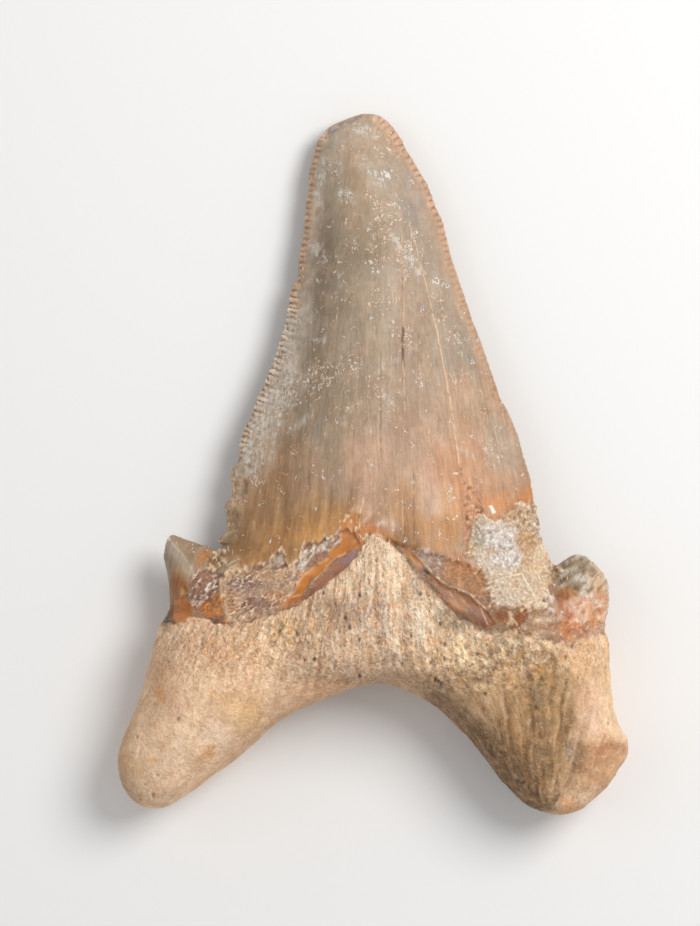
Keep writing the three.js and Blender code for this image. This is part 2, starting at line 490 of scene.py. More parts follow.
# %% Cut the serrations
SERRATIONS = [  # along the edge, spacing, depth of the notches, height of the ridges on both faces
    (0, 0.70, 0.00, 0.00), (10, 0.66, 0.00, 0.00), (12, 0.62, 0.18, 0.16), (29, 0.62, 0.22, 0.20),
    (31, 0.66, 0.08, 0.12), (46, 0.64, 0.06, 0.12), (49, 0.70, 0.00, 0.00), (55, 0.74, 0.04, 0.05),
    (57, 0.80, 0.12, 0.16), (66, 0.78, 0.10, 0.15), (72, 0.70, 0.05, 0.08), (90, 0.68, 0.04, 0.05),
    (96, 0.68, 0.00, 0.00), (110, 0.68, 0.00, 0.00),
]
SERRATED_WIDTH = 0.85
BLADE_FOOT = -9.0
RUN_STEP = 0.05
serration_marks, spacings, notch_depths, ridge_heights = np.array(SERRATIONS).T
fine_runs = np.arange(0, blade_runs[-1], RUN_STEP)
wobble = lumps(np.stack([fine_runs, fine_runs * 0, fine_runs * 0 + 3.3], axis=1), 1.7, 5)
spacing_here = np.interp(fine_runs, serration_marks, spacings)
serration_counts = np.cumsum(RUN_STEP / spacing_here * (1 + 0.3 * wobble))


def serration_bead(along):
    """1 on top of each bead and 0 in the notch beside it."""
    count = np.interp(along, fine_runs, serration_counts)
    share = count % 1
    size = 0.75 + 0.25 * seed_table[count.astype(int) % TABLE_SIZE, 0]
    return (4 * share * (1 - share)) ** 0.6 * size


blade_away, blade_along = near_line(points[:, :2], BLADE)
blade_away = np.where(points[:, 1] > BLADE_FOOT, blade_away, FAR)
edge_directions = np.gradient(np.array(BLADE), blade_runs, axis=0)
inward_x = np.interp(blade_along, blade_runs, edge_directions[:, 1])
inward_y = np.interp(blade_along, blade_runs, -edge_directions[:, 0])
bead = serration_bead(blade_along + 0.16 * lumps(points * (1, 1, 0), 0.6, 27, 2))
notch = (
    np.interp(blade_along, serration_marks, notch_depths) * (1 - bead) * (1 - ease(0.0, 0.7, blade_away))
)
points[:, 0] += notch * inward_x
points[:, 1] += notch * inward_y
ridge = np.interp(blade_along, serration_marks, ridge_heights)
bold = ease(11, 13, blade_along) * (1 - ease(28, 31, blade_along))
band_edge = SERRATED_WIDTH * (1 + 0.5 * bold + 0.35 * lumps(points * (1, 1, 0), 1.6, 26, 2))
serrated = 1 - ease(0.7 * band_edge, 1.25 * band_edge, blade_away)
face = np.where(normals[:, 2] > 0, 1.0, -1.0)
points[:, 2] -= face * serrated * ridge * (1.3 - bead) * ease(0.0, 0.25, blade_away)
print("serrations:", int(serration_counts[-1]))

# %% [markdown]
# ## Shape and stain together
# From here on each feature does two things at once. It adds its height to one table, `rise`, in
# millimetres along the surface's own direction, and it lays its colour on another, `stain`, like a wash
# of thin paint. Because both use the same mask, colour and shape always agree. The points move once, at
# the end, so that no feature shifts the landmarks of the next.

# %% Tables, washes and glazes
x, y, z = points.T
plan = points[:, :2]
level = points * (1, 1, 0)
facing = normals[:, 2]
top = ease(-0.15, 0.3, facing)
rise = np.zeros(len(points))
OWN_SHARE = 0.95  # of a lit surface's colour as it is seen, the share that is its own


def own_colour(red, green, blue):
    """A surface's own colour, from the colour that is seen when it is lit."""
    return np.array(flat_colour(red, green, blue)) * (OWN_SHARE, OWN_SHARE, OWN_SHARE, 1)


stain = np.tile(own_colour(176, 156, 134), (len(points), 1))
print("a relief and a stain for each of", len(points), "points")


def wash(colour, mask):
    """Lays a colour over the stain, as thickly as the mask says."""
    mask = np.clip(mask, 0, 1)[:, None]
    stain[:] = stain * (1 - mask) + own_colour(*colour) * mask


def glaze(red, green, blue, mask):
    """Lets that share of each colour through, as a thin varnish does. A share above 1 bleaches."""
    mask = np.clip(mask, 0, 1)[:, None]
    stain[:] = stain * (1 - mask + mask * np.array([red, green, blue, 1]))


# %% [markdown]
# ## Noises to share
# Many features need some randomness at the same few sizes. Six noises are made once here: for ragged
# borders, spikes, crumbs, mottling, patches and large clouds.

# %% Six noises
rough = lumps(level, 1.0, 21, 2)
spiky = lumps(level * (1.5, 0.55, 1), 0.8, 25, 2)
crumbs = lumps(level, 0.5, 31, 2)
mottle = lumps(level, 0.9, 35, 3)
patchy = lumps(points, 2.2, 201, 2)
cloud = lumps(points, 5.0, 202, 3)
print("the clouds run from", round(cloud.min(), 2), "to", round(cloud.max(), 2))

# %% [markdown]
# ## Soft patches
# Most stains are clouds with no clear border. An ellipse with a ragged distance gives one, and short
# tables of ellipses lay many of them in a row.

# %% Soft patches
PATCH_CORE = 0.45  # as a share of the way to the ellipse
PATCH_RIM = 1.25


def blob(centre_x, centre_y, half_width, half_height, raggedness=0.35):
    """A soft patch, 1 in its middle."""
    away = np.hypot((x - centre_x) / half_width, (y - centre_y) / half_height)
    return 1 - ease(PATCH_CORE, PATCH_RIM, away + raggedness * patchy)


def wash_patches(zone, patches):
    """Washes soft patches in a zone. Each is a colour, what blob takes, and a strength."""
    for colour, place, strength in patches:
        wash(colour, zone * blob(*place) * strength)


def glaze_patches(zone, patches):
    """Glazes soft patches in a zone. Each is its shares of red, green and blue, and what blob takes."""
    for shares, place in patches:
        glaze(*shares, zone * blob(*place))


# %% [markdown]
# ## Broken outlines and thin lines
# A flake or a crack has a border that can be followed. An outline or a line of points gives its place,
# and the shared noises break it up. `grained` turns and squeezes the tooth under a noise, so that its
# lumps become streaks in one direction.

# %% Outlines, lines and grain
def patch(outline, raggedness=0.15, softness=0.18):
    """1 inside a closed outline on the full face, with a ragged border."""
    depth = depth_in(plan, outline) + raggedness * (rough + 0.5 * crumbs)
    return top * ease(-softness, softness, depth)


def stroke(line, half_width, softness=0.12):
    """1 along a line on the full face."""
    away, _ = near_line(plan, line)
    ragged = away + 0.07 * crumbs + 0.05 * rough
    return top * (1 - ease(half_width - softness, half_width + softness, ragged))


def beside(line, width):
    """1 on a line on the full face, and less and less beside it."""
    return top * bump(near_line(plan, line)[0], width)


def measure(name, mask):
    """Prints how much of the skin a mask covers."""
    print(name, "covers", round(100 * mask.mean(), 2), "% of the skin's points")


def grained(degrees, along, across):
    """The plan turned and squeezed, so that noise on it runs in that direction."""
    turn = np.radians(degrees)
    turned = np.array([[np.cos(turn), -np.sin(turn), 0], [np.sin(turn), np.cos(turn), 0], [0, 0, 1]])
    return (level + 0.4 * patchy[:, None]) @ turned * (along, across, 1)


# %% [markdown]
# ## Enamel, neck and root
# The enamel is a skin a third of a millimetre thick that lies over the dentine. The three masks are
# worked out from the two border lines, and the neck is lowered by the enamel's thickness, so that the
# broken edge casts a real shadow. The underside has its own border.

# %% The three tissues
ENAMEL_THICKNESS = 0.32
SIDE_ON = -0.15  # where the skin faces further down than this, it is the underside
blade_away = np.where(y > BLADE_FOOT, near_line(plan, BLADE)[0], FAR)
outer_depth = -depth_above(plan, OUTER_ROOT_BORDER)
raggedness = 0.10 + 0.45 * ease(7, 13, x) + 0.2 * (1 - ease(-14, -10, x))
root_depth = np.where(facing > SIDE_ON, -depth_above(plan, ROOT_BORDER), outer_depth)
root_depth = root_depth + 0.14 * crumbs + raggedness * rough
enamel_depth = np.where(facing > SIDE_ON, depth_above(plan, ENAMEL_EDGE), -outer_depth - 0.7)
enamel_depth = enamel_depth + 0.22 * spiky + 0.10 * crumbs
in_enamel = ease(-0.18, 0.18, enamel_depth)
border_softness = 0.22 + 0.22 * ease(3, 6, x)
in_root = ease(-1, 1, root_depth / border_softness)
in_neck = (1 - in_enamel) * (1 - in_root)
rise -= ENAMEL_THICKNESS * in_neck * (1 - 0.5 * ease(11, 14, x)) * (1 - 0.4 * (1 - ease(-17, -14, x)))
rise += 0.12 * in_root * bump(root_depth - 0.5, 0.7) * top * (1 - 0.8 * ease(2, 5, x))
measure("the enamel", in_enamel)

# %% [markdown]
# ## The enamel
# The enamel isn't flat glass. It has long, low folds that fan out from far above the tip, and it has
# cracked along them. The fan is made by turning x and y into an angle and a distance round the fan's
# centre. The stain is darkest along the left edge and in the amber zone above the broken edge, where the
# enamel is thin and the root shows through.

# %% Long, low folds
ENAMEL_FAN = (-1, 90)  # the centre that the folds fan out from
ENAMEL_ACROSS = 90


def fan(points, centre_x, centre_y, across, lengthwise):
    """Squeezes the tooth into a space where lines that fan out from a centre run straight."""
    x, y, z = points.T
    down = np.abs(centre_y - y)
    angle = np.arctan2(x - centre_x, down)
    away = np.hypot(x - centre_x, down)
    return np.stack([angle * across, away * lengthwise, z * 0.5], axis=1)


folds = fan(points, *ENAMEL_FAN, ENAMEL_ACROSS, 0.06)
fine_folds = in_enamel * (0.022 * lumps(folds, 2.6, 41, 2) + 0.008 * lumps(folds, 0.6, 43))
broad_waves = in_enamel * 0.07 * lumps(points, 8.0, 45)
rise += fine_folds
rise += broad_waves
print("folds", round(fine_folds.max(), 3), "mm high, on waves of", round(broad_waves.max(), 3), "mm")

# %% [markdown]
# ## Long cracks
# Each crack is a few points, and a smooth curve runs through them. The same curve is used again in the
# material, so that the groove and its dark or pale line lie together.

# %% Long cracks
CRACK_DEPTH = 0.07
CRACK_WIDTH = 0.13
CRACK_FADE = 0.6
LONGEST_CRACK = [
    (4.2, 25.5), (5.3, 21.3), (6.2, 18.4), (7.0, 14.0), (7.9, 10.0), (8.6, 5.6), (9.1, 2.4), (9.3, 0.2),
]
CRACKS = [  # the line, its half width, its colour, how strong it is
    (LONGEST_CRACK, 0.08, (236, 196, 156), 0.75),
    ([(3.2, 24.6), (3.5, 19.8), (3.5, 16.0), (3.5, 13.7)], 0.065, (224, 172, 128), 0.7),
    ([(3.4, 14.2), (3.35, 12.6), (3.4, 10.9)], 0.12, (104, 66, 40), 0.9),
    ([(3.4, 10.6), (3.5, 8.6), (3.6, 5.7)], 0.08, (232, 190, 148), 0.6),
    ([(1.0, 11.5), (1.0, 7.4), (0.95, 3.9), (1.1, 0.4)], 0.07, (150, 98, 64), 0.5),
    ([(-1.4, 10.0), (-1.65, 7.1), (-1.95, 3.6), (-2.2, -1.0)], 0.07, (212, 168, 130), 0.55),
    ([(-6.1, 6.2), (-6.5, 2.6), (-6.9, -2.2)], 0.07, (204, 158, 116), 0.5),
    ([(-3.3, 18.0), (-3.7, 13.6), (-4.1, 9.0)], 0.06, (176, 130, 90), 0.5),
    ([(5.8, 15.0), (6.5, 11.0), (7.1, 6.6), (7.4, 3.4)], 0.06, (196, 140, 96), 0.45),
    ([(4.5, -1.2), (4.5, -4.4), (4.5, -8.0)], 0.07, (112, 78, 54), 0.65),
    ([(3.5, -4.6), (3.5, -6.6), (3.4, -8.3)], 0.07, (104, 72, 50), 0.55),
    ([(-4.0, -1.0), (-4.4, -4.0), (-4.8, -7.4)], 0.06, (200, 150, 96), 0.4),
]


def crack_curve(line):
    """The crack's x as a polynomial in its y, with the highest power first."""
    across, up = np.array(line).T
    return np.polyfit(up, across, min(3, len(line) - 1))


for line, half_width, _, strength in CRACKS:
    across, up = np.array(line).T
    gap = abs(x - np.polyval(crack_curve(line), y))
    length_mask = (
        ease(up.min() - CRACK_FADE, up.min(), y) * (1 - ease(up.max(), up.max() + CRACK_FADE, y))
    )
    rise -= top * in_enamel * length_mask * CRACK_DEPTH * strength * bump(gap, CRACK_WIDTH)
print(len(CRACKS), "long cracks")

# %% [markdown]
# ## The enamel's colour
# Minerals have stained the enamel taupe, greyer to the right and warmer towards the base. It is also
# painted darker to the left: partly stain, partly painted shade where the blade turns away from the
# light.
# One gradient across the blade and a set of soft patches build this up from large to small, in the way
# that a painter works.

# %% Stains of the enamel
blade_middle = np.interp(y, (-10, 0, 10, 20, 30, 38), (0.8, 1.0, 1.0, 0.6, -0.3, -1.0))
blade_half = np.interp(y, (-10, 0, 10, 20, 30, 38), (17.5, 15.8, 12.2, 9.0, 6.7, 2.5))
side = (x - blade_middle) / blade_half
# darker to the left: partly stain, partly painted shade where the blade turns away from the light
wash((152, 135, 113), 1 - ease(-0.65, 0.15, side + 0.25 * cloud))
wash((168, 149, 130), ease(0.1, 0.7, side + 0.2 * cloud) * 0.85)
wash_patches(1, [
    ((136, 116, 94), (-6.4, 10.5, 1.8, 5.5), 0.7),
    ((146, 120, 94), (-8.6, 2.0, 1.8, 4.0), 0.8),
    ((184, 158, 132), (-1.5, 35.5, 5.5, 3.2), 0.7),
    ((176, 147, 119), (-1.5, 29.5, 2.0, 5.5), 0.5),
    ((160, 147, 135), (4.6, 28.5, 1.5, 4.5), 0.85),
    ((174, 152, 132), (4.0, 22.0, 2.2, 4.0), 0.6),
    ((188, 160, 134), (-6.2, 26.5, 1.0, 3.4), 0.6),
    ((156, 143, 126), (11.0, 12.0, 2.2, 6.5), 0.6),
])
SMUDGES = [(-1.2, 32.2, 1.0), (-2.8, 28.8, 1.0), (-5.2, 31.0, 0.6), (0.4, 30.0, 1.0), (-0.6, 35.4, 1.2)]
for smudge_x, smudge_y, size in SMUDGES:
    wash((212, 190, 168), blob(smudge_x, smudge_y, size, size, 0.7) * ease(-0.1, 0.4, mottle) * 0.5)
left_strip = top * (x < 0) * bump(blade_away - 2.0, 1.2)
wash((180, 164, 146), left_strip * ease(-6, 0, y) * 0.75)
wash(
    (208, 196, 180), left_strip * ease(-5, -1, y) * (1 - ease(16, 22, y)) * ease(0.05, 0.45, mottle) * 0.6
)
wash((132, 114, 93), blob(-5.1, 21.5, 1.5, 7.0) * 0.8)

# %% [markdown]
# ## Warmer towards the base
# The lower third of the blade is rosy and tan. Two gradients and soft patches lay this over the taupe,
# and glazes finish it: they darken or bleach what is there.

# %% Warmer enamel towards the base
lower = 1 - ease(-1, 11, y + 2.5 * cloud)
wash((180, 144, 116), lower * ease(-0.5, -0.1, side) * 0.8)
wash_patches(1, [
    ((212, 172, 144), (-0.3, 0.2, 3.2, 3.4), 0.6),
    ((208, 158, 124), (9.5, -1.5, 6.0, 6.5), 0.75),
    ((184, 148, 118), (10.0, 6.8, 4.0, 3.4), 0.6),
    ((174, 138, 106), (4.2, 7.0, 2.4, 13.0), 0.6),
    ((178, 134, 94), (3.8, -4.8, 2.2, 3.4), 0.85),
    ((212, 154, 106), (9.4, -4.0, 2.8, 2.8), 0.7),
])
# a pale diagonal band low on the right of the blade: a painted highlight, the sheen of light on the
# enamel
painted_sheen = bump((x - 6.6) + (y + 4) * 0.35, 0.8) * ease(-6.8, -5.2, y) * (1 - ease(-2.5, 0.5, y))
wash((226, 188, 160), top * painted_sheen * 0.7)
wash_patches(1, [
    ((176, 158, 140), (14.4, 2.0, 2.4, 3.4), 0.75),
    ((172, 126, 80), (-11.0, -4.5, 5.0, 6.5), 0.8),
    ((190, 164, 140), (-11.4, 1.4, 1.6, 3.4), 0.7),
    ((178, 144, 114), (-6.6, -1.5, 2.6, 3.6), 0.7),
    ((202, 154, 106), (-5.6, -5.6, 2.6, 3.0), 0.75),
    ((188, 150, 116), (-14.3, -3.6, 1.6, 2.6), 0.8),
])
glaze_patches(1, [
    ((0.76, 0.74, 0.72), (4.0, 9.5, 1.9, 10.5, 0.2)),
    ((0.84, 0.80, 0.75), (1.2, 23.5, 3.6, 2.8)),
    ((1.22, 1.18, 1.14), (-6.0, 26.5, 1.0, 3.6)),
    ((1.16, 1.14, 1.11), (-6.4, 8.0, 1.6, 3.2)),
    ((1.20, 1.18, 1.16), (-11.0, 3.0, 1.6, 3.0)),
    ((1.12, 1.11, 1.14), (9.4, 8.4, 1.8, 2.6)),
    ((0.90, 0.84, 0.78), (7.6, -0.6, 3.4, 2.4)),
    ((0.90, 0.86, 0.84), (-1.0, 10.5, 1.8, 3.4)),
    ((1.00, 0.92, 0.84), (3.8, 3.4, 2.0, 3.0)),
    ((0.90, 0.82, 0.74), (4.0, -4.6, 1.6, 2.4)),
])
measure("the lower, warmer enamel", lower * in_enamel)

# %% [markdown]
# ## Amber where the enamel is thin
# Above the broken edge the enamel is thin, and the amber dentine shows through it. The mask is the
# distance above the edge. Dark and pale strands fan down through it, and pale splashes lie where it
# chipped.

# %% Amber above the broken edge
above_break = enamel_depth - 0.22 * spiky + 0.6 * lumps(folds, 1.2, 47)
amber_zone = 1 - ease(0.5, 4.5, above_break)
wash((180, 128, 70), amber_zone * (1 - ease(2, 10, x)) * ease(-17, -13, x) * 0.9)
wash((196, 142, 82), amber_zone * blob(-4.5, -7.0, 5.0, 3.4) * 0.85)
strands = lumps(fan(points, *ENAMEL_FAN, ENAMEL_ACROSS, 0.05), 0.55, 48, 3)
low_face = in_enamel * top * (1 - ease(-5, 3, y))
wash((132, 92, 54), low_face * ease(0.05, 0.5, strands) * 0.45)
wash((224, 178, 128), low_face * ease(0.15, 0.6, -strands) * 0.35)
wash((152, 110, 66), amber_zone * blob(3.6, -8.0, 1.8, 1.6) * 0.9)
wash((184, 130, 72), top * blob(6.8, -7.4, 3.6, 2.4) * 0.95)
wash((188, 112, 54), (1 - ease(0.3, 2.4, above_break)) * blob(-0.9, -7.2, 2.8, 2.4) * 0.9)
wash((222, 176, 148), blob(-0.4, -4.6, 1.4, 1.8) * ease(-0.2, 0.3, mottle) * 0.6)
# lightens the amber at the lower left: a painted golden highlight
glaze(1.22, 1.24, 1.26, in_enamel * blob(-6.0, -7.6, 1.8, 1.6))
glaze(0.78, 0.74, 0.66, in_enamel * blob(4.2, -7.6, 1.6, 1.8))
wash((146, 104, 56), blob(-14.2, -8.4, 2.0, 2.0) * 0.85)
# painted shadows in the small notches of the broken edge
chip_shadows = top * bump(enamel_depth - 0.15, 0.3) * ease(3.0, 3.6, x) * (1 - ease(6.5, 7.5, x))
wash((88, 64, 46), chip_shadows * ease(0.0, 0.3, spiky) * 0.85)
SPLASHES = [(0.0, -5.5, 0.8), (1.1, -6.4, 0.8), (-1.7, -5.0, 0.5), (-0.7, -6.2, 0.5), (2.2, -6.9, 0.5)]
for splash_x, splash_y, size in SPLASHES:
    splash = top * blob(splash_x, splash_y, size, 0.7 * size, 0.6)
    wash((232, 212, 202), splash * ease(-0.2, 0.15, crumbs) * 0.9)
measure("the amber zone", amber_zone * in_enamel)

# %% [markdown]
# ## Light beads, dark notches
# Each bead gets a painted highlight, and each notch painted shade. The same bead count that cut the
# serrations now paints them, so each pale spot sits on its own bead.

# %% The cutting edges' stain, painted highlights and painted shade
edge_strength = ease(0.02, 0.1, ridge) * (0.65 + 0.35 * ease(-0.4, 0.4, patchy))
shaded_notch = serrated * (1 - bead)
wash((182, 150, 120), serrated * (0.3 + 0.35 * edge_strength) * (1 - ease(-2, 2, -y)))
# a painted highlight on the top of each bead
wash((216, 176, 144), serrated * edge_strength * ease(0.5, 0.85, bead) * 0.65)
# painted highlights on the beads near the tip on the right
wash((232, 188, 156), serrated * (x > 0) * ease(22, 26, y) * ease(0.6, 0.85, bead) * 0.7)
# painted shade in the notches
wash((116, 86, 62), shaded_notch * edge_strength * (1 - ease(0.4, 0.9, blade_away)) * (0.7 + 0.25 * bold))
# bright painted highlights on the bold beads
wash((248, 222, 190), serrated * bold * ease(0.6, 0.85, bead) * ease(-0.3, 0.2, crumbs) * 0.85)
# nearly black painted shade at the outer end of the bold notches
wash((54, 42, 32), shaded_notch * bold * ease(0.25, 0.6, 1 - bead) * (1 - ease(0.15, 0.45, blade_away)))
wash(
    (200, 154, 122),
    top * ease(0, 2, x) * (1 - ease(0.7, 2.0, blade_away + 0.6 * patchy)) * ease(0, 6, y) * 0.4,
)
wash(
    (206, 196, 182),
    top * bump(blade_away - 1.25, 0.45) * (x < 0) * ease(6, 14, y) * ease(0.1, 0.5, mottle) * 0.7,
)
measure("the serrated border", serrated)

# %% [markdown]
# ## Breaks on the blade
# The tip lost a flake while it was in use, and its scar is smooth and a little sunk. The lower left edge
# has crumbled. Lowering the skin and changing its colour with one mask makes both.

# %% The broken tip and the chipped lower left edge
TIP_CHIP = [
    (-5.0, 35.3), (-4.4, 35.6), (-3.7, 36.2), (-2.5, 36.85), (-1.3, 37.35), (-1.2, 38.6), (-6, 38.6),
    (-6, 35.6),
]
chip = patch(TIP_CHIP, 0.25, 0.35)
rise -= chip * (0.34 + 0.1 * rough)
wash((168, 150, 140), chip * 0.9)
wash((134, 124, 128), chip * blob(-4.1, 36.0, 0.7, 0.6, 0.1) * 0.9)
wash((218, 200, 188), chip * ease(0.0, 0.3, crumbs) * 0.7)
wash((226, 186, 160), top * blob(-5.1, 35.5, 0.5, 0.7, 0.2) * 0.8)
chipped = (
    top * (1 - ease(0.7, 1.9, blade_away + 0.5 * rough)) * (x < 0) * (1 - ease(-1, 1, y))
    * ease(-9.4, -7.5, y)
)
rise -= chipped * (0.12 + 0.14 * lumps(level, 1.0, 53, 3))
upper_chip = ease(-5.5, -3.0, y)
wash((182, 164, 140), chipped * ease(-0.3, 0.4, mottle) * (0.25 + 0.55 * upper_chip))
wash((222, 202, 168), chipped * ease(0.1, 0.35, crumbs + 0.4 * rough) * (0.35 + 0.4 * upper_chip))
wash((128, 100, 68), chipped * (1 - ease(-0.5, -0.2, rough)) * 0.5)
measure("the chipped lower left edge", chipped)

# %% [markdown]
# ## The neck
# Below the broken edge the neck shows in patches, and each patch broke in its own way. On the left a
# plate of thin enamel has wrinkled like old varnish, with a pale rim. A glassy orange channel and a
# smooth mauve strip run beside the root. White, flaky enamel hangs on above them. On the right a flake
# has split off and left a matt hollow with a thin pale rim, and a brown glassy channel runs below it.

# %% The ground of the neck
wash((166, 124, 98), in_neck)
wash((200, 150, 112), in_neck * top * ease(0.0, 0.5, rough) * 0.5)
wash((170, 134, 120), in_neck * (x < 0) * ease(-0.3, 0.3, patchy) * 0.6)
measure("the neck", in_neck)

# %% [markdown]
# ## A wrinkled plate
# The plate's wrinkles run uphill. They are the places where a stretched noise passes through zero, which
# makes long, closed lines like those of old varnish.

# %% The wrinkled plate
UPHILL = 30  # the way that the plate's wrinkles run, in degrees
WRINKLED_PLATE = [
    (-16.2, -12.4), (-15.4, -11.5), (-13.8, -11.2), (-12.0, -11.3), (-10.6, -11.4), (-9.2, -10.9),
    (-8.0, -10.9), (-7.4, -11.6), (-8.4, -13.2), (-9.6, -14.9), (-11.4, -16.0), (-13.5, -16.6),
    (-15.4, -16.5), (-16.2, -14.6),
]
wrinkled = patch(WRINKLED_PLATE, 0.45, 0.3) * (1 - in_root * 0.6)
uphill = grained(UPHILL, 0.38, 1.3)
wrinkle = bump(lumps(uphill, 0.9, 63, 3), 0.10) * ease(-0.3, 0.2, mottle)
wrinkle = np.maximum(wrinkle, bump(lumps(uphill, 0.5, 68, 2), 0.09) * ease(-0.1, 0.3, patchy))
rise += wrinkled * (0.10 + 0.12 * wrinkle + 0.10 * lumps(uphill, 0.8, 64, 3))
wash((222, 182, 152), wrinkled)
wash((194, 154, 136), wrinkled * blob(-14.2, -13.2, 1.6, 1.6) * 0.8)
wash((190, 140, 98), wrinkled * ease(-0.1, 0.4, patchy) * 0.7)
uphill_shade = lumps(uphill, 1.1, 69, 3)
wash((228, 190, 152), wrinkled * ease(0.05, 0.5, uphill_shade) * 0.7)
wash((150, 104, 78), wrinkled * ease(0.1, 0.5, -uphill_shade) * 0.75)
wash((206, 144, 90), wrinkled * (blob(-9.9, -14.4, 1.8, 0.9) + blob(-14.9, -15.0, 0.9, 1.4)) * 0.6)
wash_patches(wrinkled, [
    ((154, 122, 118), (-12.8, -12.7, 2.6, 1.0), 0.6),
    ((128, 86, 74), (-12.0, -15.2, 1.8, 0.8), 0.65),
    ((226, 178, 130), (-11.2, -12.0, 2.6, 0.9), 0.5),
])
wash((250, 222, 194), wrinkled * wrinkle * 0.95)
measure("the wrinkled plate", wrinkled)

# %% [markdown]
# ## Small flakes
# Sandy and glassy flakes hang on above the plate, with a white rim along the broken edge. Each has its
# own outline, and lined noise shows the enamel's layers in its broken side.

# %% Flakes above the plate
SANDY_FLAKES = [
    (-17.7, -10.2), (-16.6, -9.2), (-15.6, -9.4), (-15.6, -10.6), (-16.4, -11.9), (-17.6, -11.6),
]
LENS_FLAKE = [
    (-16.3, -12.3), (-15.9, -11.3), (-15.0, -10.6), (-14.2, -10.4), (-14.4, -11.1), (-15.4, -11.6),
]
LINED_FLAKE = [(-11.4, -11.1), (-11.0, -10.3), (-9.6, -9.0), (-9.3, -9.8), (-9.5, -10.6), (-10.5, -11.2)]
sandy = patch(SANDY_FLAKES, 0.25)
rise += sandy * 0.15 * ease(-0.1, 0.2, lumps(level, 0.7, 65, 2))
wash((134, 100, 66), sandy)
wash((218, 192, 156), sandy * ease(0.0, 0.3, crumbs + 0.5 * rough))
lens_flake = patch(LENS_FLAKE, 0.08)
wash((150, 138, 112), lens_flake * 0.8)
lined_flake = patch(LINED_FLAKE, 0.1)
rise += lined_flake * 0.06
wash((222, 204, 182), lined_flake * ease(-0.2, 0.1, lumps(grained(65, 0.4, 1.6), 0.7, 74, 2)) * 0.8)
wash((176, 108, 66), blob(-10.3, -10.6, 0.5, 0.35, 0.2) * 0.8)

broken_edge = (
    top * bump(enamel_depth - 0.05, 0.14) * ease(-0.1, 0.3, rough) * (1 - ease(-3, 0, x))
    * ease(-18, -16, x)
)
rise += broken_edge * 0.05
wash((236, 206, 172), broken_edge * 0.8)
WHITE_RIM = [
    (-8.0, -10.9), (-7.6, -9.6), (-7.2, -8.4), (-6.8, -9.0), (-6.1, -8.2), (-5.6, -8.7), (-5.1, -8.0),
    (-4.4, -8.2), (-3.4, -7.1), (-3.2, -8.2), (-4.2, -9.1), (-5.8, -9.6), (-6.9, -10.6), (-7.6, -11.6),
]
white_rim = patch(WHITE_RIM, 0.25)
flake_lines = lumps(grained(55, 0.4, 1.6), 0.7, 70, 3)
rise += white_rim * (0.08 + 0.08 * flake_lines)
wash((190, 152, 124), white_rim)
wash((238, 220, 202), white_rim * ease(-0.35, 0.05, flake_lines))
measure("the white rim", white_rim)

# %% [markdown]
# ## The glassy channel
# A flake split off here and left smooth, orange glass. The channel is sunk into the skin and gets a coat
# later, so that it glints. A mauve strip of thin dentine lies beside it.

# %% The orange channel and the mauve strip
ORANGE_CHANNEL = [
    (-3.3, -6.8), (-2.5, -5.7), (-2.0, -6.6), (-1.4, -7.4), (-0.8, -8.4), (-1.6, -8.7), (-3.3, -9.8),
    (-4.2, -10.1), (-4.8, -10.9), (-5.5, -11.6), (-6.4, -12.2), (-7.1, -13.2), (-7.8, -14.2),
    (-9.5, -15.1), (-9.3, -14.6), (-8.3, -13.4), (-7.4, -11.8), (-6.0, -10.7), (-4.8, -10.0),
    (-4.4, -9.2), (-3.4, -8.4),
]
orange = patch(ORANGE_CHANNEL, 0.14, 0.16)
rise -= orange * 0.16 * (1 - ease(-8.2, -6.8, y))
wash((206, 128, 50), orange)
wash((228, 160, 90), orange * ease(0.1, 0.5, rough) * 0.5)
wash((166, 92, 34), orange * ease(0.1, 0.6, -rough) * 0.5)
above_channel = top * blob(-2.0, -7.2, 2.2, 1.8, 0.6)
wash((190, 118, 60), above_channel * 0.85)
wash((230, 184, 142), above_channel * ease(0.2, 0.5, crumbs) * 0.6)
wash((184, 104, 30), orange * blob(-8.4, -14.4, 1.3, 0.7, 0.1) * 0.8)
MAUVE_STRIP = [
    (-4.8, -11.0), (-3.8, -10.1), (-1.7, -8.9), (-1.3, -9.8), (-2.7, -11.3), (-4.6, -12.6), (-5.6, -13.7),
    (-7.6, -14.9), (-9.6, -15.9), (-11.2, -16.2), (-9.6, -15.2), (-7.8, -14.4), (-6.9, -13.4),
    (-6.0, -12.2),
]
mauve = patch(MAUVE_STRIP, 0.2) * (1 - in_root * 0.5)
rise -= mauve * 0.05
wash((178, 120, 88), mauve)
wash((132, 84, 60), mauve * ease(0.0, 0.5, -rough) * 0.7)
wash((206, 160, 126), mauve * ease(0.2, 0.5, crumbs) * 0.5)
wash((166, 132, 134), mauve * blob(-2.4, -9.9, 1.5, 1.0, 0.3) * 0.9)
wash((150, 88, 58), mauve * blob(-7.2, -13.8, 1.4, 1.0) * 0.6)
measure("the orange channel", orange)

# %% [markdown]
# ## The left shoulder
# Between the left cusplet and the plate the enamel came off in thin steps. A noise that is cut off at two
# levels raises the steps, and pale lines mark their rims.

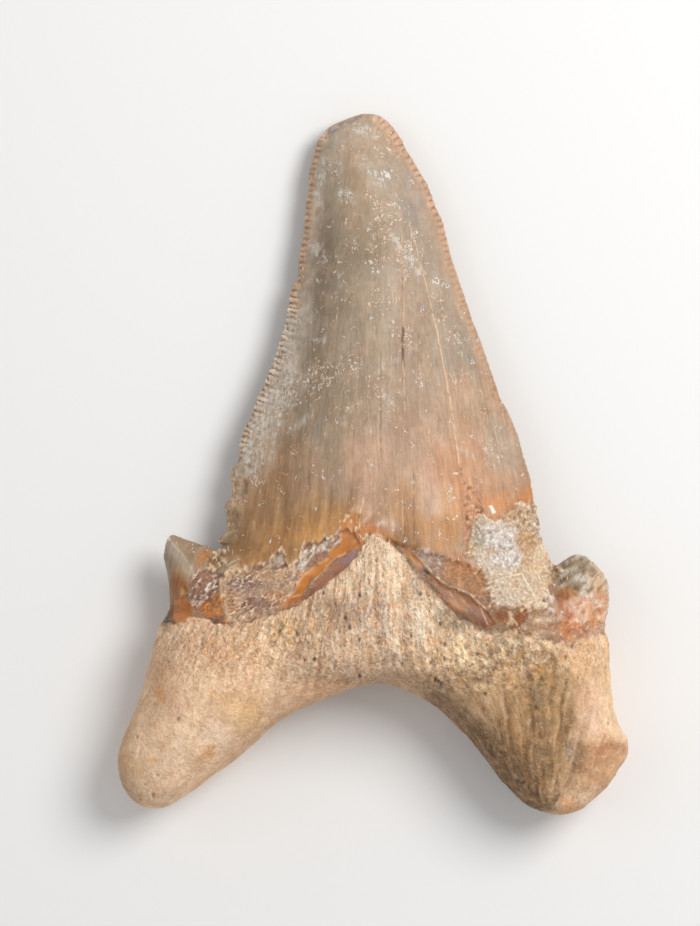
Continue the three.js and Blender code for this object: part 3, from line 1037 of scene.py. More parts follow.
# %% The flaked left shoulder
FLAKED_SHOULDER = [
    (-19.6, -12.2), (-18.4, -11.6), (-16.6, -11.9), (-16.2, -14.6), (-16.4, -15.6), (-18.0, -15.4),
    (-19.6, -15.3),
]
flaked = patch(FLAKED_SHOULDER, 0.45, 0.3)
flake = lumps(grained(48, 0.5, 1.4), 0.9, 66, 3)
rise += flaked * (0.14 * ease(-0.1, 0.2, flake) + 0.10 * ease(0.3, 0.5, flake))
wash((148, 98, 72), flaked * 0.9)
wash((190, 150, 124), flaked * ease(-0.1, 0.5, -flake) * 0.7)
wash((236, 218, 204), flaked * (bump(flake - 0.15, 0.10) + ease(0.35, 0.5, flake)) * 0.95)
SHOULDER_GLASS = [
    (-18.6, -15.4), (-17.8, -14.9), (-16.9, -14.1), (-16.0, -14.3), (-15.8, -15.6), (-16.4, -16.3),
    (-17.5, -16.6),
]
SHOULDER_SHADOW = [(-17.8, -16.3), (-16.0, -16.3), (-15.6, -16.9), (-16.8, -17.2)]
SHOULDER_GLINT = [(-15.9, -16.5), (-15.3, -16.5), (-15.4, -17.1)]
wash((210, 130, 52), patch(SHOULDER_GLASS, 0.5, 0.25) * 0.9)
wash((112, 72, 52), patch(SHOULDER_SHADOW, 0.15) * 0.8)
wash((206, 124, 48), patch(SHOULDER_GLINT, 0.05) * 0.9)
PLATE_RIM = [
    (-14.4, -11.1), (-15.3, -11.7), (-16.0, -12.6), (-16.0, -13.9), (-15.7, -15.2), (-15.2, -16.4),
]
plate_rim = stroke(PLATE_RIM, 0.3, 0.25) * (1 - in_root)
rise += plate_rim * 0.12
wash((238, 202, 158), plate_rim * ease(-0.6, 0.1, crumbs) * 0.85)
measure("the flaked shoulder", flaked)

# %% [markdown]
# ## The matt hollow
# On the right a large flake has gone. Its scar is matt and lumpy, grey at one end and tan at the other,
# so it gets roughness in its shape and no coat.

# %% The hollow on the right
HOLLOW = [
    (4.9, -9.0), (5.9, -8.9), (7.2, -9.7), (8.4, -9.5), (9.7, -9.7), (10.2, -10.5), (11.5, -11.0),
    (12.4, -11.8), (12.3, -12.8), (12.5, -14.1), (11.0, -14.2), (10.2, -13.6), (8.7, -13.0), (7.1, -12.1),
    (5.9, -10.9), (5.1, -10.0),
]
hollow = patch(HOLLOW, 0.25, 0.2)
rise -= hollow * (0.04 + 0.07 * rough)
wash((188, 134, 94), hollow)
wash((168, 148, 136), hollow * (1 - ease(6.6, 8.6, x + patchy)) * 0.85)
wash((230, 214, 200), hollow * ease(0.2, 0.5, crumbs) * (1 - ease(7, 9, x)) * 0.7)
wash((216, 168, 128), hollow * ease(0.2, 0.6, rough) * 0.6)
wash((150, 98, 62), hollow * ease(0.1, 0.6, -mottle) * 0.6)
measure("the hollow", hollow)

# %% [markdown]
# ## The brown channel
# Below the hollow runs a brown, striped channel. It is made like the orange one, with stripes along it.

# %% The brown channel
BROWN_CHANNEL = [
    (2.0, -8.0), (3.1, -8.6), (4.3, -9.2), (5.1, -10.2), (6.2, -11.5), (7.2, -12.5), (8.4, -13.2),
    (10.2, -13.8), (11.3, -14.9), (12.4, -15.8), (13.2, -16.9), (12.2, -17.3), (10.9, -16.6),
    (9.6, -15.9), (8.4, -14.9), (7.3, -13.8), (6.3, -12.6), (5.1, -11.3), (3.9, -10.0), (3.1, -9.0),
]
brown = patch(BROWN_CHANNEL, 0.18, 0.16)
glassy_stripe = lumps(grained(-48, 0.3, 1.4), 0.8, 67, 2)
rise -= brown * (0.18 - 0.05 * glassy_stripe)
wash((156, 98, 54), brown)
wash((108, 66, 40), brown * ease(0.0, 0.4, glassy_stripe) * 0.7)
wash((204, 142, 84), brown * ease(0.1, 0.5, -glassy_stripe) * 0.6)
wash_patches(brown, [
    ((190, 130, 70), (4.4, -10.2, 1.4, 1.4), 0.6),
    ((130, 72, 40), (11.8, -16.2, 1.8, 1.5), 0.7),
    ((40, 28, 22), (6.0, -11.45, 0.4, 0.5, 0.1), 1),
])
FROSTY_LINE = [(3.0, -8.9), (4.2, -10.6), (5.6, -12.0)]
wash((206, 196, 184), beside(FROSTY_LINE, 0.3) * ease(0.0, 0.3, crumbs) * 0.7)
measure("the brown channel", brown)

# %% [markdown]
# ## Cells and a gap
# Below the crust three amber cells lie in pale grains, and a gap runs along the root, where the neck
# has come away from it. The gap is a narrow hill in the distance to the root's border, turned upside
# down. It is sunk into the skin, and its darkness is painted shadow.

# %% Amber cells, and the gap with its painted shadow
BETWEEN_CELLS = [(12.6, -15.2), (17.6, -15.0), (18.8, -16.6), (17.4, -18.8), (13.6, -17.6)]
AMBER_CELLS = [
    [(13.2, -15.9), (14.2, -15.5), (14.8, -16.0), (14.5, -16.7), (13.4, -16.6)],
    [(15.3, -15.8), (16.2, -15.4), (16.9, -16.1), (16.4, -17.2), (15.4, -16.8)],
    [(14.8, -17.2), (15.8, -17.1), (16.3, -18.0), (15.4, -18.1)],
]
between_cells = patch(BETWEEN_CELLS, 0.3)
grainy = mottle + 0.3 * crumbs
wash((160, 118, 84), between_cells * (1 - in_root * 0.5))
wash((222, 194, 162), between_cells * ease(0.0, 0.3, grainy) * 0.8 * (1 - in_root * 0.5))
wash((200, 154, 118), in_neck * top * blob(18.0, -17.2, 2.2, 1.3) * 0.6)
wash((236, 210, 184), in_neck * top * blob(18.0, -17.2, 2.4, 1.4) * ease(0.1, 0.4, grainy) * 0.7)
for cell in AMBER_CELLS:
    amber = patch(cell, 0.3, 0.2)
    rise -= amber * 0.06
    wash((150, 88, 48), amber)
    wash((196, 128, 72), amber * ease(0.1, 0.5, rough) * 0.6)
gap_width = 0.35 + 0.3 * ease(4, 9, x)
shadowed_gap = top * bump(root_depth + 0.05, gap_width) * ease(1.6, 3.0, x) * (1 - ease(15, 18, x))
rise -= shadowed_gap * 0.15
# painted shadow along the gap
wash((96, 78, 62), shadowed_gap * ease(-0.7, 0.2, mottle + 0.5 * crumbs) * 0.85)
print(len(AMBER_CELLS), "amber cells")

# %% [markdown]
# ## Pale rims
# Thin rims tell the eye that each flake has an edge. They are lines of their own, raised a little.

# %% Pale lines
CHANNEL_RIM = [
    (-8.6, -14.0), (-7.4, -13.6), (-6.2, -12.3), (-5.2, -11.3), (-4.7, -10.6), (-3.9, -9.9), (-1.7, -8.7),
]
HOLLOW_RIM = [
    (3.9, -8.9), (5.1, -10.0), (6.3, -11.3), (7.1, -12.2), (8.3, -13.0), (9.9, -13.5), (10.7, -13.9),
    (12.2, -15.5),
]
PALE_LINES = [  # the line and its half width
    ([(-16.3, -12.4), (-15.8, -11.4), (-15.1, -10.8), (-14.1, -10.3)], 0.07),
    ([(-11.3, -11.0), (-10.9, -10.3), (-9.5, -8.9)], 0.08),
    ([(-9.1, -9.7), (-9.4, -10.5), (-10.3, -11.0)], 0.07),
    ([(-9.4, -14.6), (-8.4, -13.5), (-7.4, -11.9), (-6.0, -10.8), (-4.8, -10.1)], 0.07),
    (CHANNEL_RIM, 0.06),
    ([(-0.8, -3.7), (-1.2, -5.4), (-1.3, -6.9), (-0.9, -8.0)], 0.09),
    ([(-2.9, -6.2), (-2.5, -5.3), (-2.1, -6.3)], 0.12),
    (HOLLOW_RIM, 0.08),
    ([(10.9, -14.0), (12.5, -14.2)], 0.05),
    ([(11.1, -14.2), (11.9, -15.7), (12.5, -16.9)], 0.05),
    ([(14.3, -15.4), (16.2, -18.0)], 0.07),
]
pale_line = np.zeros(len(points))
for line, half_width in PALE_LINES:
    pale_line = np.maximum(pale_line, stroke(line, half_width, 0.09))
pale_line *= ease(-0.5, 0.05, rough + crumbs)
rise += pale_line * 0.05
wash((242, 212, 178), pale_line * 0.8)
print(len(PALE_LINES), "pale lines")

# %% [markdown]
# ## Sediment and the frayed crack
# Over the right shoulder the sediment has set hard to a crust of pale grains. Beside it the long crack
# has frayed into a rough wedge, and the enamel above the crust is stained orange. The cell noise makes
# the grains: each seed is a grain, and the joints between them are low.

# %% The orange stain and the white splinter
ORANGE_STAIN = [
    (11.7, -4.4), (12.5, -3.6), (14.7, -3.5), (15.4, -3.8), (16.3, -2.8), (17.4, -2.6), (17.6, -4.2),
    (16.8, -4.6), (15.8, -4.7), (15.3, -5.2), (14.2, -5.7), (13.4, -6.5), (12.4, -5.4),
]
DARKER_ORANGE = [(15.6, -4.4), (16.0, -3.2), (17.5, -2.2), (17.8, -4.4), (16.8, -4.9)]
WHITE_SPLINTER = [(12.6, -4.6), (12.95, -4.55), (13.4, -5.3), (13.0, -5.5)]
wash((212, 148, 98), patch(ORANGE_STAIN, 1.1, 0.8) * 0.9)
wash((198, 132, 80), patch(DARKER_ORANGE, 0.2, 0.2) * 0.8)
splinter = patch(WHITE_SPLINTER, 0.03, 0.08)
rise += splinter * 0.1
wash((246, 234, 222), splinter)
measure("the white splinter", splinter)

# %% [markdown]
# ## The crust
# The grains are raised by cell noise and roughened by gradient noise. A pale core, a brown corner, a
# smoother plate and two thin seams keep the crust from looking like one even material.

# %% The crust of grains
CRUST = [
    (10.9, -5.6), (11.6, -5.2), (12.6, -6.2), (13.4, -6.5), (14.3, -5.7), (15.4, -5.2), (16.0, -4.5),
    (17.7, -4.3), (18.6, -7.7), (19.3, -9.8), (20.4, -11.3), (19.3, -12.6), (18.9, -14.2), (18.3, -15.4),
    (16.2, -15.3), (14.4, -15.5), (13.2, -15.0), (12.5, -14.1), (12.3, -12.9), (12.4, -11.9),
    (11.3, -10.9), (10.3, -9.9), (10.4, -7.6),
]
CRUST_CORE = [
    (11.3, -6.3), (13.0, -6.8), (15.2, -7.2), (16.2, -9.2), (15.6, -11.0), (14.2, -11.8), (12.8, -11.4),
    (11.9, -9.6),
]
BROWN_CORNER = [(14.6, -5.6), (17.9, -3.8), (18.8, -8.4), (17.0, -9.2)]
CRUST_SEAMS = [[(15.8, -11.8), (17.8, -15.3)], [(12.4, -12.8), (14.2, -12.3), (15.9, -12.0)]]
crusted = patch(CRUST, 0.8, 0.4)
grain_away = seed_distance(level, 0.5, 71)
smooth_plate = blob(15.8, -13.5, 2.8, 1.9)
crust_grain = (0.7 * (0.6 - grain_away) + 0.35 * lumps(level, 0.4, 73)) * (1 - 0.7 * smooth_plate)
crust_grain += 0.5 * lumps(level, 1.6, 72, 2)
rise += crusted * (0.26 + 0.14 * crust_grain)
wash((230, 200, 166), crusted)
wash((204, 158, 116), crusted * ease(0.1, 0.6, patchy) * 0.7)
wash((222, 212, 204), crusted * ease(0.0, 0.5, -patchy) * 0.6)
wash((180, 146, 110), crusted * ease(0.2, 0.5, lumps(level, 0.7, 77, 2)) * 0.5)
pale_core = crusted * patch(CRUST_CORE, 0.9, 0.8)
wash((238, 226, 216), pale_core)
wash((164, 146, 130), pale_core * ease(0.15, 0.5, -crumbs) * 0.7)
crust_fleck = lumps(level, 0.45, 79, 2)
wash((252, 246, 240), pale_core * ease(0.1, 0.4, crust_fleck) * 0.7)
wash((142, 118, 98), pale_core * ease(0.15, 0.45, -crust_fleck) * 0.55)
wash((242, 210, 178), crusted * ease(-0.4, 0.6, x - 17.6 - (y + 10) * 0.28 + 0.6 * patchy) * 0.9)
wash((158, 122, 90), crusted * patch(BROWN_CORNER, 0.5, 0.4) * ease(0.0, 0.3, crumbs) * 0.8)
wash((154, 118, 84), crusted * blob(19.2, -11.6, 1.4, 1.6) * ease(-0.2, 0.3, crumbs) * 0.8)
wash_patches(crusted, [
    ((196, 150, 108), (12.8, -9.4, 0.8, 0.5), 0.7),
    ((206, 154, 102), (16.6, -8.6, 1.1, 1.4, 0.6), 0.75),
    ((250, 220, 176), (18.0, -11.4, 1.3, 2.6), 0.4),
    ((176, 160, 140), (11.3, -7.6, 0.8, 2.0), 0.7),
])
wash((230, 208, 182), crusted * smooth_plate * 0.7)
wash((206, 164, 124), crusted * smooth_plate * ease(0.1, 0.5, mottle) * 0.6)
for line in CRUST_SEAMS:
    wash((250, 232, 202), stroke(line, 0.06, 0.08) * 0.8)
    rise += stroke(line, 0.06, 0.1) * 0.08
measure("the crust", crusted)

# %% [markdown]
# ## The frayed crack
# The wedge beside the crust is enamel that has crumbled along the long crack. Fine lumps, stretched along
# it, look like its loose prisms.

# %% The frayed crack
FRAYED_CRACK = [
    (9.6, -0.7), (10.9, -2.75), (12.1, -4.8), (12.4, -5.4), (11.5, -5.4), (10.9, -5.7), (10.7, -6.7),
    (10.4, -8.2), (10.1, -9.6), (9.95, -6.7), (9.9, -4.1),
]
frayed = patch(FRAYED_CRACK, 0.12, 0.15)
rise += frayed * (0.10 * lumps(level * (1, 0.6, 1), 0.45, 75, 2) - 0.10)
wash((216, 160, 124), frayed * 0.9)
wash((140, 92, 64), frayed * ease(0.1, 0.4, crumbs) * 0.8)
stone = np.maximum(crusted, frayed * 0.5)
measure("the frayed crack", frayed)

# %% [markdown]
# ## The cusplets
# The left cusplet is a small blade of its own with a ridge down its middle: a glassy facet left of it,
# with a painted highlight along the ridge, and a brown one right of it. The right one is blunt and
# cracked, and its base glows pink and orange where the enamel is thin.

# %% The left cusplet
LEFT_CUSPLET = [
    (-24.5, -6.0), (-18.5, -6.0), (-17.2, -9.3), (-17.8, -10.6), (-19.1, -12.1), (-19.7, -13.6),
    (-19.9, -15.4), (-24.5, -15.6),
]
left_cusplet = ease(-0.25, 0.25, depth_in(plan, LEFT_CUSPLET) + 0.2 * rough) * (1 - in_root)
CUSPLET_RIDGE = [(-21.9, -8.0), (-21.4, -8.7), (-20.3, -9.8), (-19.3, -11.3), (-18.8, -12.6)]
ridge_away, _ = near_line(plan, CUSPLET_RIDGE)
right_of_ridge = ease(-0.5, 0.4, (x + 20.3) + (y + 9.8) * 0.85)
rise += top * left_cusplet * (0.05 * bump(ridge_away, 0.3) - 0.04 * bump(ridge_away - 1.2, 0.7))
wash((160, 139, 115), left_cusplet * (1 - right_of_ridge))
wash((158, 132, 104), left_cusplet * right_of_ridge)
pale_facet = top * left_cusplet * (1 - right_of_ridge)
# painted highlight: a pale band on the left facet beside the ridge
wash((214, 204, 190), pale_facet * bump(ridge_away - 0.5, 0.5) * 0.35)
wash((150, 128, 104), pale_facet * ease(1.3, 2.0, ridge_away + 0.3 * patchy) * 0.7)
# painted highlight along the ridge
wash((220, 208, 192), top * left_cusplet * bump(ridge_away, 0.12) * 0.45)
wash((186, 122, 62), left_cusplet * right_of_ridge * blob(-17.8, -10.5, 1.1, 1.1) * 0.9)
wash((160, 108, 64), left_cusplet * (1 - ease(-13.4, -11.6, y + 0.4 * patchy)) * 0.9)
wash((134, 82, 36), left_cusplet * blob(-20.8, -13.3, 1.2, 1.3) * 0.95)
wash((198, 150, 96), top * left_cusplet * blob(-20.3, -13.9, 0.5, 0.5, 0.2) * 0.6)
AMBER_LOBE = [
    (-21.4, -15.2), (-20.6, -14.6), (-19.6, -14.7), (-19.0, -15.6), (-19.2, -16.7), (-20.1, -17.3),
    (-21.2, -16.9),
]
amber_lobe = patch(AMBER_LOBE, 0.12)
rise += amber_lobe * 0.12
wash((172, 104, 46), amber_lobe)
wash((206, 144, 84), amber_lobe * ease(0.2, 0.6, rough) * 0.5)
wash((206, 124, 54), amber_lobe * blob(-20.2, -16.6, 1.0, 0.6, 0.2) * 0.9)
wash((190, 132, 84), amber_lobe * blob(-20.6, -15.3, 0.6, 0.5, 0.2) * 0.6)
wash((176, 104, 56), top * blob(-21.8, -15.8, 0.5, 0.8, 0.1) * 0.9)
# painted shade: a grey spot where the outer left edge turns away from the light
wash((92, 88, 84), top * blob(-22.5, -16.4, 0.7, 0.8, 0.2) * 0.8)
measure("the left cusplet", left_cusplet)

# %% [markdown]
# ## The right cusplet
# This cusplet is worn blunt. Cracks cross it, pale and dark streaks run up it, and its outer edge keeps a
# few worn nubs. Its pink base has thin, pale veins.

# %% The right cusplet
right_cusplet = ease(19.2, 20.4, x) * ease(-18.8, -17.6, y) * (1 - in_root) * (1 - crusted)
NUBS_PER_MM = 1.35
nub = np.abs((y * NUBS_PER_MM) % 1 - 0.5) * 2
nub_edge = (
    top * ease(23.4, 24.6, x + (y + 13) * 0.12) * ease(-16.4, -15.6, y) * (1 - ease(-12.2, -11.4, y))
)
cusplet_cracks = lumps(level, 1.5, 83, 2)
rise -= right_cusplet * 0.08 * bump(cusplet_cracks, 0.12)
rise += nub_edge * 0.08 * nub
wash((150, 130, 102), right_cusplet)
wash((204, 192, 176), right_cusplet * blob(22.4, -12.1, 1.7, 0.9) * ease(-0.4, 0.2, mottle))
wash((124, 104, 78), right_cusplet * blob(20.8, -11.9, 1.2, 0.9) * 0.8)
wash((176, 140, 104), right_cusplet * ease(23.2, 24.4, x) * 0.7)
wash((216, 188, 158), right_cusplet * blob(24.0, -12.6, 1.2, 1.8) * 0.7)
wash((216, 166, 116), nub_edge * 0.7)
cusplet_streak = lumps(grained(40, 0.5, 1.5), 0.9, 89, 3)
wash((206, 192, 174), right_cusplet * ease(0.05, 0.4, cusplet_streak) * 0.8)
wash((108, 86, 62), right_cusplet * ease(0.05, 0.5, -cusplet_streak) * 0.7)
wash((104, 88, 62), right_cusplet * (1 - ease(19.6, 20.6, x + 0.4 * patchy)) * 0.8)
pink_base = ease(-0.4, 0.4, -(y + 14.1) + 0.6 * patchy) * right_cusplet
wash((210, 148, 110), pink_base)
wash((220, 170, 140), pink_base * blob(22.2, -15.8, 1.4, 1.0) * 0.8)
wash((240, 220, 200), pink_base * ease(0.2, 0.5, crumbs) * ease(-0.2, 0.3, patchy) * 0.6)
wash((176, 112, 78), pink_base * ease(0.1, 0.6, -mottle) * 0.7)
wash((232, 196, 160), pink_base * ease(0.1, 0.6, mottle) * 0.5)
wash((196, 128, 62), right_cusplet * blob(20.8, -13.9, 1.2, 0.7) * 0.8)
wash((212, 136, 86), pink_base * blob(21.4, -17.8, 1.6, 1.4, 0.6) * 0.7)
base_flow = lumps(grained(37, 0.5, 1.2), 0.8, 90, 3)
wash((238, 206, 180), pink_base * bump(base_flow, 0.12) * ease(-0.2, 0.2, patchy) * 0.75)
wash((170, 100, 64), pink_base * ease(0.15, 0.5, base_flow) * 0.6)
wash((240, 222, 210), pink_base * bump(cusplet_cracks, 0.08) * ease(-0.1, 0.3, mottle) * 0.7)
wash((232, 216, 202), top * blob(19.0, -15.0, 0.8, 1.3) * ease(-0.1, 0.3, crumbs) * 0.8)
CUSPLET_RIM = [(21.6, -14.8), (22.6, -14.1), (23.7, -14.3), (24.6, -16.2)]
wash((238, 222, 208), beside(CUSPLET_RIM, 0.35) * ease(0.0, 0.3, crumbs + 0.3 * rough) * 0.8)
wash((142, 84, 48), top * blob(20.6, -14.3, 0.8, 0.5) * 0.7)
wash((204, 128, 74), top * blob(21.0, -18.2, 0.9, 1.2) * 0.8)
measure("the right cusplet", right_cusplet)

# %% [markdown]
# ## The root
# The root is bone-like. Fine canals run down it and fan out into the lobes, and each one shows as a
# groove where the surface has worn. Small pits mark where vessels went in. The right lobe has long, soft
# ridges and ends in a worn, rounded bump.

# %% Furrows and fibres
ROOT_FAN = (0, 18)  # the centre that the root's canals fan out from
ROOT_ACROSS = 42
grain_way = fan(points, *ROOT_FAN, ROOT_ACROSS, 0.16)
furrow_way = fan(points, *ROOT_FAN, ROOT_ACROSS, 0.09)
furrow = lumps(furrow_way, 1.3, 84, 2)
fibre = lumps(grain_way, 0.5, 85, 2)
coarse = ease(-26, -19, y - 0.12 * abs(x) + 2)
lobe = ease(9, 14, x) * (1 - ease(-24, -20, y))
middle = bump((x + 1) / 9.0, 1.0) * ease(-27, -22, y)
rise += in_root * 0.28 * lumps(points, 9.0, 81)
rise += in_root * 0.09 * lumps(points, 2.6, 82, 2)
rise += in_root * (0.05 + 0.05 * middle) * (1 - 0.7 * lobe) * furrow
rise += in_root * (0.03 + 0.05 * coarse) * fibre
rise += in_root * (0.025 + 0.05 * coarse) * lumps(points, 0.42, 86)
LOBE_FAN = (18, -46)  # the ridges of the right lobe come together far below it
LOBE_ACROSS = 24
lobe_way = fan(points + 0.35 * patchy[:, None] * (1, 1, 0), *LOBE_FAN, LOBE_ACROSS, 0.14)
lobe_streak = lumps(lobe_way, 1.0, 92, 3)
rise -= in_root * lobe * 0.09 * lobe_streak
measure("the root", in_root)

# %% [markdown]
# ## Pits and the worn bump
# Small pits are pinholes of the cell noise. The thirty larger ones are each in a place of their own. The
# bump at the end of the right lobe is a ridge beside a trough, both drawn as short lines.

# %% Pits and the worn bump
pinhole_away = seed_distance(points * (1, 0.8, 1), 1.9, 87)
pinholes = bump(pinhole_away, 0.10) * (patchy > -0.1)
rise -= in_root * 0.16 * pinholes
crumbly = in_root * top * blob(13.0, -21.0, 8.0, 4.5)
crumbly = np.maximum(crumbly, in_root * top * blob(-9.0, -18.0, 3.5, 2.0))
rise += crumbly * 0.12 * lumps(level, 0.7, 93, 3)
PITS = [
    (-5.0, -13.8), (-1.3, -13.9), (-3.8, -14.9), (-2.8, -16.2), (-2.3, -17.3), (-6.7, -19.0),
    (-7.9, -18.1), (-8.2, -18.5), (-7.6, -17.8), (-7.1, -20.9), (-6.0, -20.8), (7.3, -17.0), (6.2, -17.9),
    (7.4, -19.0), (7.8, -19.2), (7.7, -20.8), (6.3, -21.1), (8.9, -21.0), (7.1, -23.3), (6.8, -23.1),
    (7.4, -23.6), (4.2, -18.2), (3.2, -21.2), (-1.3, -18.6), (-1.2, -22.6), (5.2, -13.8), (-23.3, -35.5),
    (21.4, -19.5), (11.3, -20.2), (12.0, -24.6),
]
pits = np.zeros(len(points))
for pit_x, pit_y in PITS:
    pits = np.maximum(pits, top * bump(np.hypot(x - pit_x, (y - pit_y) * 0.6) + 0.09 * crumbs, 0.15))
rise -= 0.2 * pits
BUMP_CREST = [(24.2, -30.0), (25.4, -29.4), (26.6, -29.9), (26.9, -31.0)]
TROUGH = [(20.8, -29.0), (21.7, -31.0), (21.7, -33.0), (21.0, -35.6)]
rise += 0.45 * beside(BUMP_CREST, 1.3) - 0.7 * beside(TROUGH, 1.1)
rise += top * in_root * 0.14 * blob(24.0, -33.0, 2.8, 3.2) * lumps(points, 1.8, 91, 2)
print(len(PITS), "pits")

# %% [markdown]
# ## The root's colour
# The root is cream and apricot, greyer near the neck, and olive brown on the right lobe. Its colour
# changes slowly, so soft patches are enough, laid from large to small.

# %% Stains of the root
wash((240, 204, 170), in_root)
wash((242, 206, 172), in_root * coarse * (1 - lobe))
wash_patches(in_root, [
    ((246, 222, 192), (1.0, -10.6, 4.6, 4.2), 0.9),
    ((255, 216, 178), (-11.5, -21.5, 6.0, 4.0), 0.8),
    ((226, 178, 144), (-18.5, -19.5, 2.6, 2.4), 0.7),
    ((238, 204, 172), (-2.0, -20.0, 8.0, 4.0), 0.7),
    ((184, 152, 126), (-3.4, -15.8, 4.2, 2.0), 0.85),
    ((196, 170, 142), (-5.0, -15.2, 1.4, 2.4), 0.6),
    ((244, 196, 140), (-8.6, -17.4, 2.2, 1.4), 0.8),
    ((252, 214, 178), (-19, -29, 8, 9), 0.7),
    ((230, 206, 180), (-21.5, -29.5, 2.6, 4.5), 0.6),
    ((236, 190, 132), (-13.4, -26.8, 2.4, 2.6), 0.7),
    ((226, 186, 148), (-23.5, -24, 3, 8), 0.5),
    ((250, 222, 188), (4.8, -17.0, 3.6, 3.8), 0.85),
    ((150, 126, 100), (8.9, -16.5, 2.2, 1.3), 0.85),
    ((252, 220, 178), (9.5, -20.0, 2.8, 2.4), 0.8),
    ((188, 162, 130), (14.0, -20.2, 2.8, 2.0), 0.8),
    ((194, 158, 116), (19.0, -20.8, 2.6, 2.6), 0.8),
    ((148, 124, 98), (16.2, -20.4, 2.0, 1.8), 0.85),
    ((224, 212, 196), (18.1, -20.4, 0.9, 0.7, 0.6), 0.7),
    ((184, 150, 110), (11.0, -24.0, 3.4, 2.4), 0.7),
    ((222, 166, 96), (13.4, -23.3, 1.0, 0.8, 0.5), 0.8),
    ((182, 143, 100), (17.0, -28.5, 7.0, 8.0), 0.95),
    ((156, 124, 86), (18.5, -24.8, 4.6, 3.6), 0.85),
    ((150, 134, 108), (17.5, -25.2, 1.2, 1.0, 0.5), 0.7),
    # the three dark patches down the arch's right flank: partly stain, partly painted shade where the
    # flank turns from the light
    ((130, 102, 72), (15.6, -31.5, 3.6, 5.6), 0.7),
    ((134, 102, 72), (18.0, -36.0, 3.2, 2.2), 0.75),
    ((130, 102, 70), (18.4, -32.0, 1.8, 3.0), 0.6),
])

# %% [markdown]
# ## Painted shade and dirt on the flanks
# The flanks are painted darker than the crests: partly dirt that they have kept, partly painted shade
# where they turn away from the light. The slope of the skin itself gives the mask, and a few lines and
# patches add what the slope can't tell.

# %% The shaded flanks of the lobes
flank = in_root * (1 - ease(0.25, 0.97, facing))
ARCH_FLANK = [
    (3.4, -23.0), (6.0, -24.4), (8.6, -26.4), (10.8, -29.0), (13.0, -31.8), (15.4, -34.6), (18.0, -36.4),
]
arch_shade = top * (1 - ease(0.6, 2.4, near_line(plan, ARCH_FLANK)[0] + 0.5 * patchy)) * ease(3, 7, x)
# painted shade on the sideways-facing flanks of the arch and the right lobe, partly dirt
wash((98, 76, 54), flank * ease(8, 12, x) * (1 - ease(17, 20, x)) * 0.95)
# painted shade down the arch's right flank, partly stain
wash((110, 86, 60), arch_shade * in_root * 0.85)
wash_patches(in_root, [
    # painted shade where the arch's edge curves away from the light
    ((186, 154, 124), (4.0, -23.2, 4.5, 1.4), 0.6),
    ((228, 186, 150), (23.4, -26.0, 2.0, 3.0), 0.8),
    # a painted highlight down the right edge of the right lobe, which faces the light
    ((242, 210, 174), (25.4, -25.0, 1.3, 6.0), 0.8),
    ((228, 186, 142), (22.8, -20.8, 3.0, 2.4), 0.7),
    ((206, 154, 112), (24.6, -32.4, 2.8, 3.4), 0.85),
])
wash((166, 114, 78), in_root * blob(24.8, -31.8, 2.4, 2.8) * ease(0.0, 0.5, mottle) * 0.6)
wash((230, 182, 142), in_root * blob(24.8, -32.4, 2.4, 2.8) * ease(0.1, 0.6, -mottle) * 0.6)
wash((236, 190, 148), in_root * blob(26.0, -33.5, 1.0, 1.8) * 0.7)
UNDER_CREST = [(23.9, -30.6), (25.3, -30.1), (26.6, -30.6)]
SHADOW_BESIDE_TROUGH = [(22.6, -30.2), (22.2, -32.2), (21.0, -34.6)]
wash((176, 116, 84), beside(UNDER_CREST, 0.5) * 0.7)
# a painted shadow line beside the trough
wash((132, 100, 72), beside(SHADOW_BESIDE_TROUGH, 0.35) * 0.7)
# painted shade: a grey patch in the trough
wash((158, 140, 130), top * blob(21.3, -30.8, 0.7, 1.9, 0.5) * 0.75)
wash((234, 200, 176), in_root * blob(23.4, -27.6, 1.4, 1.9) * 0.6)
wash((232, 172, 124), in_root * blob(21.2, -37.0, 1.6, 1.2) * 0.8)
LEFT_LOBE_SIDE = [
    (-24.4, -18.0), (-25.0, -22.0), (-26.2, -27.0), (-27.1, -31.0), (-26.9, -34.0), (-25.6, -36.4),
]
# painted shade down the outer side of the left lobe, which faces away from the light
wash((146, 116, 90), beside(LEFT_LOBE_SIDE, 0.9) * in_root * 0.6)
# the flanks on the left painted a little darker and warmer: painted shade, partly stain
wash((206, 160, 122), flank * ease(-18, -14, x) * (1 - ease(-2, 2, x)) * 0.4)
# painted shade: a grey spot where the outer left edge turns away from the light
wash((104, 96, 86), top * blob(-22.2, -16.9, 0.9, 1.0, 0.2) * 0.8)
wash((222, 176, 138), top * blob(22.6, -18.9, 2.0, 0.9, 0.5) * ease(-0.2, 0.2, crumbs) * 0.8)
RUST_SPOTS = [(-22.5, -24.5, 0.6), (-17.2, -30.8, 0.7), (-21.4, -33.0, 0.35), (-23.2, -31.7, 0.3)]
for spot_x, spot_y, size in RUST_SPOTS:
    wash((220, 154, 88), in_root * blob(spot_x, spot_y, size, size * 1.3, 0.6) * 0.6)
measure("the shaded flank", flank)

# %% [markdown]
# ## Furrows in colour
# Furrows are darkened with painted shade and ridges lightened with painted light. The noises that shaped
# them are used again as masks.

# %% Stains, and painted shade that follows the furrows
wash((228, 172, 112), in_root * ease(0.25, 0.9, cloud) * 0.4)
wash((214, 176, 140), in_root * ease(0.1, 0.7, -patchy) * 0.35)
wash((126, 106, 82), crumbly * ease(0.05, 0.5, mottle) * 0.7)
wash((246, 220, 182), crumbly * ease(0.05, 0.5, -mottle) * 0.7)
wash((226, 168, 94), crumbly * ease(0.25, 0.6, lumps(level, 1.4, 94, 2)) * 0.6)
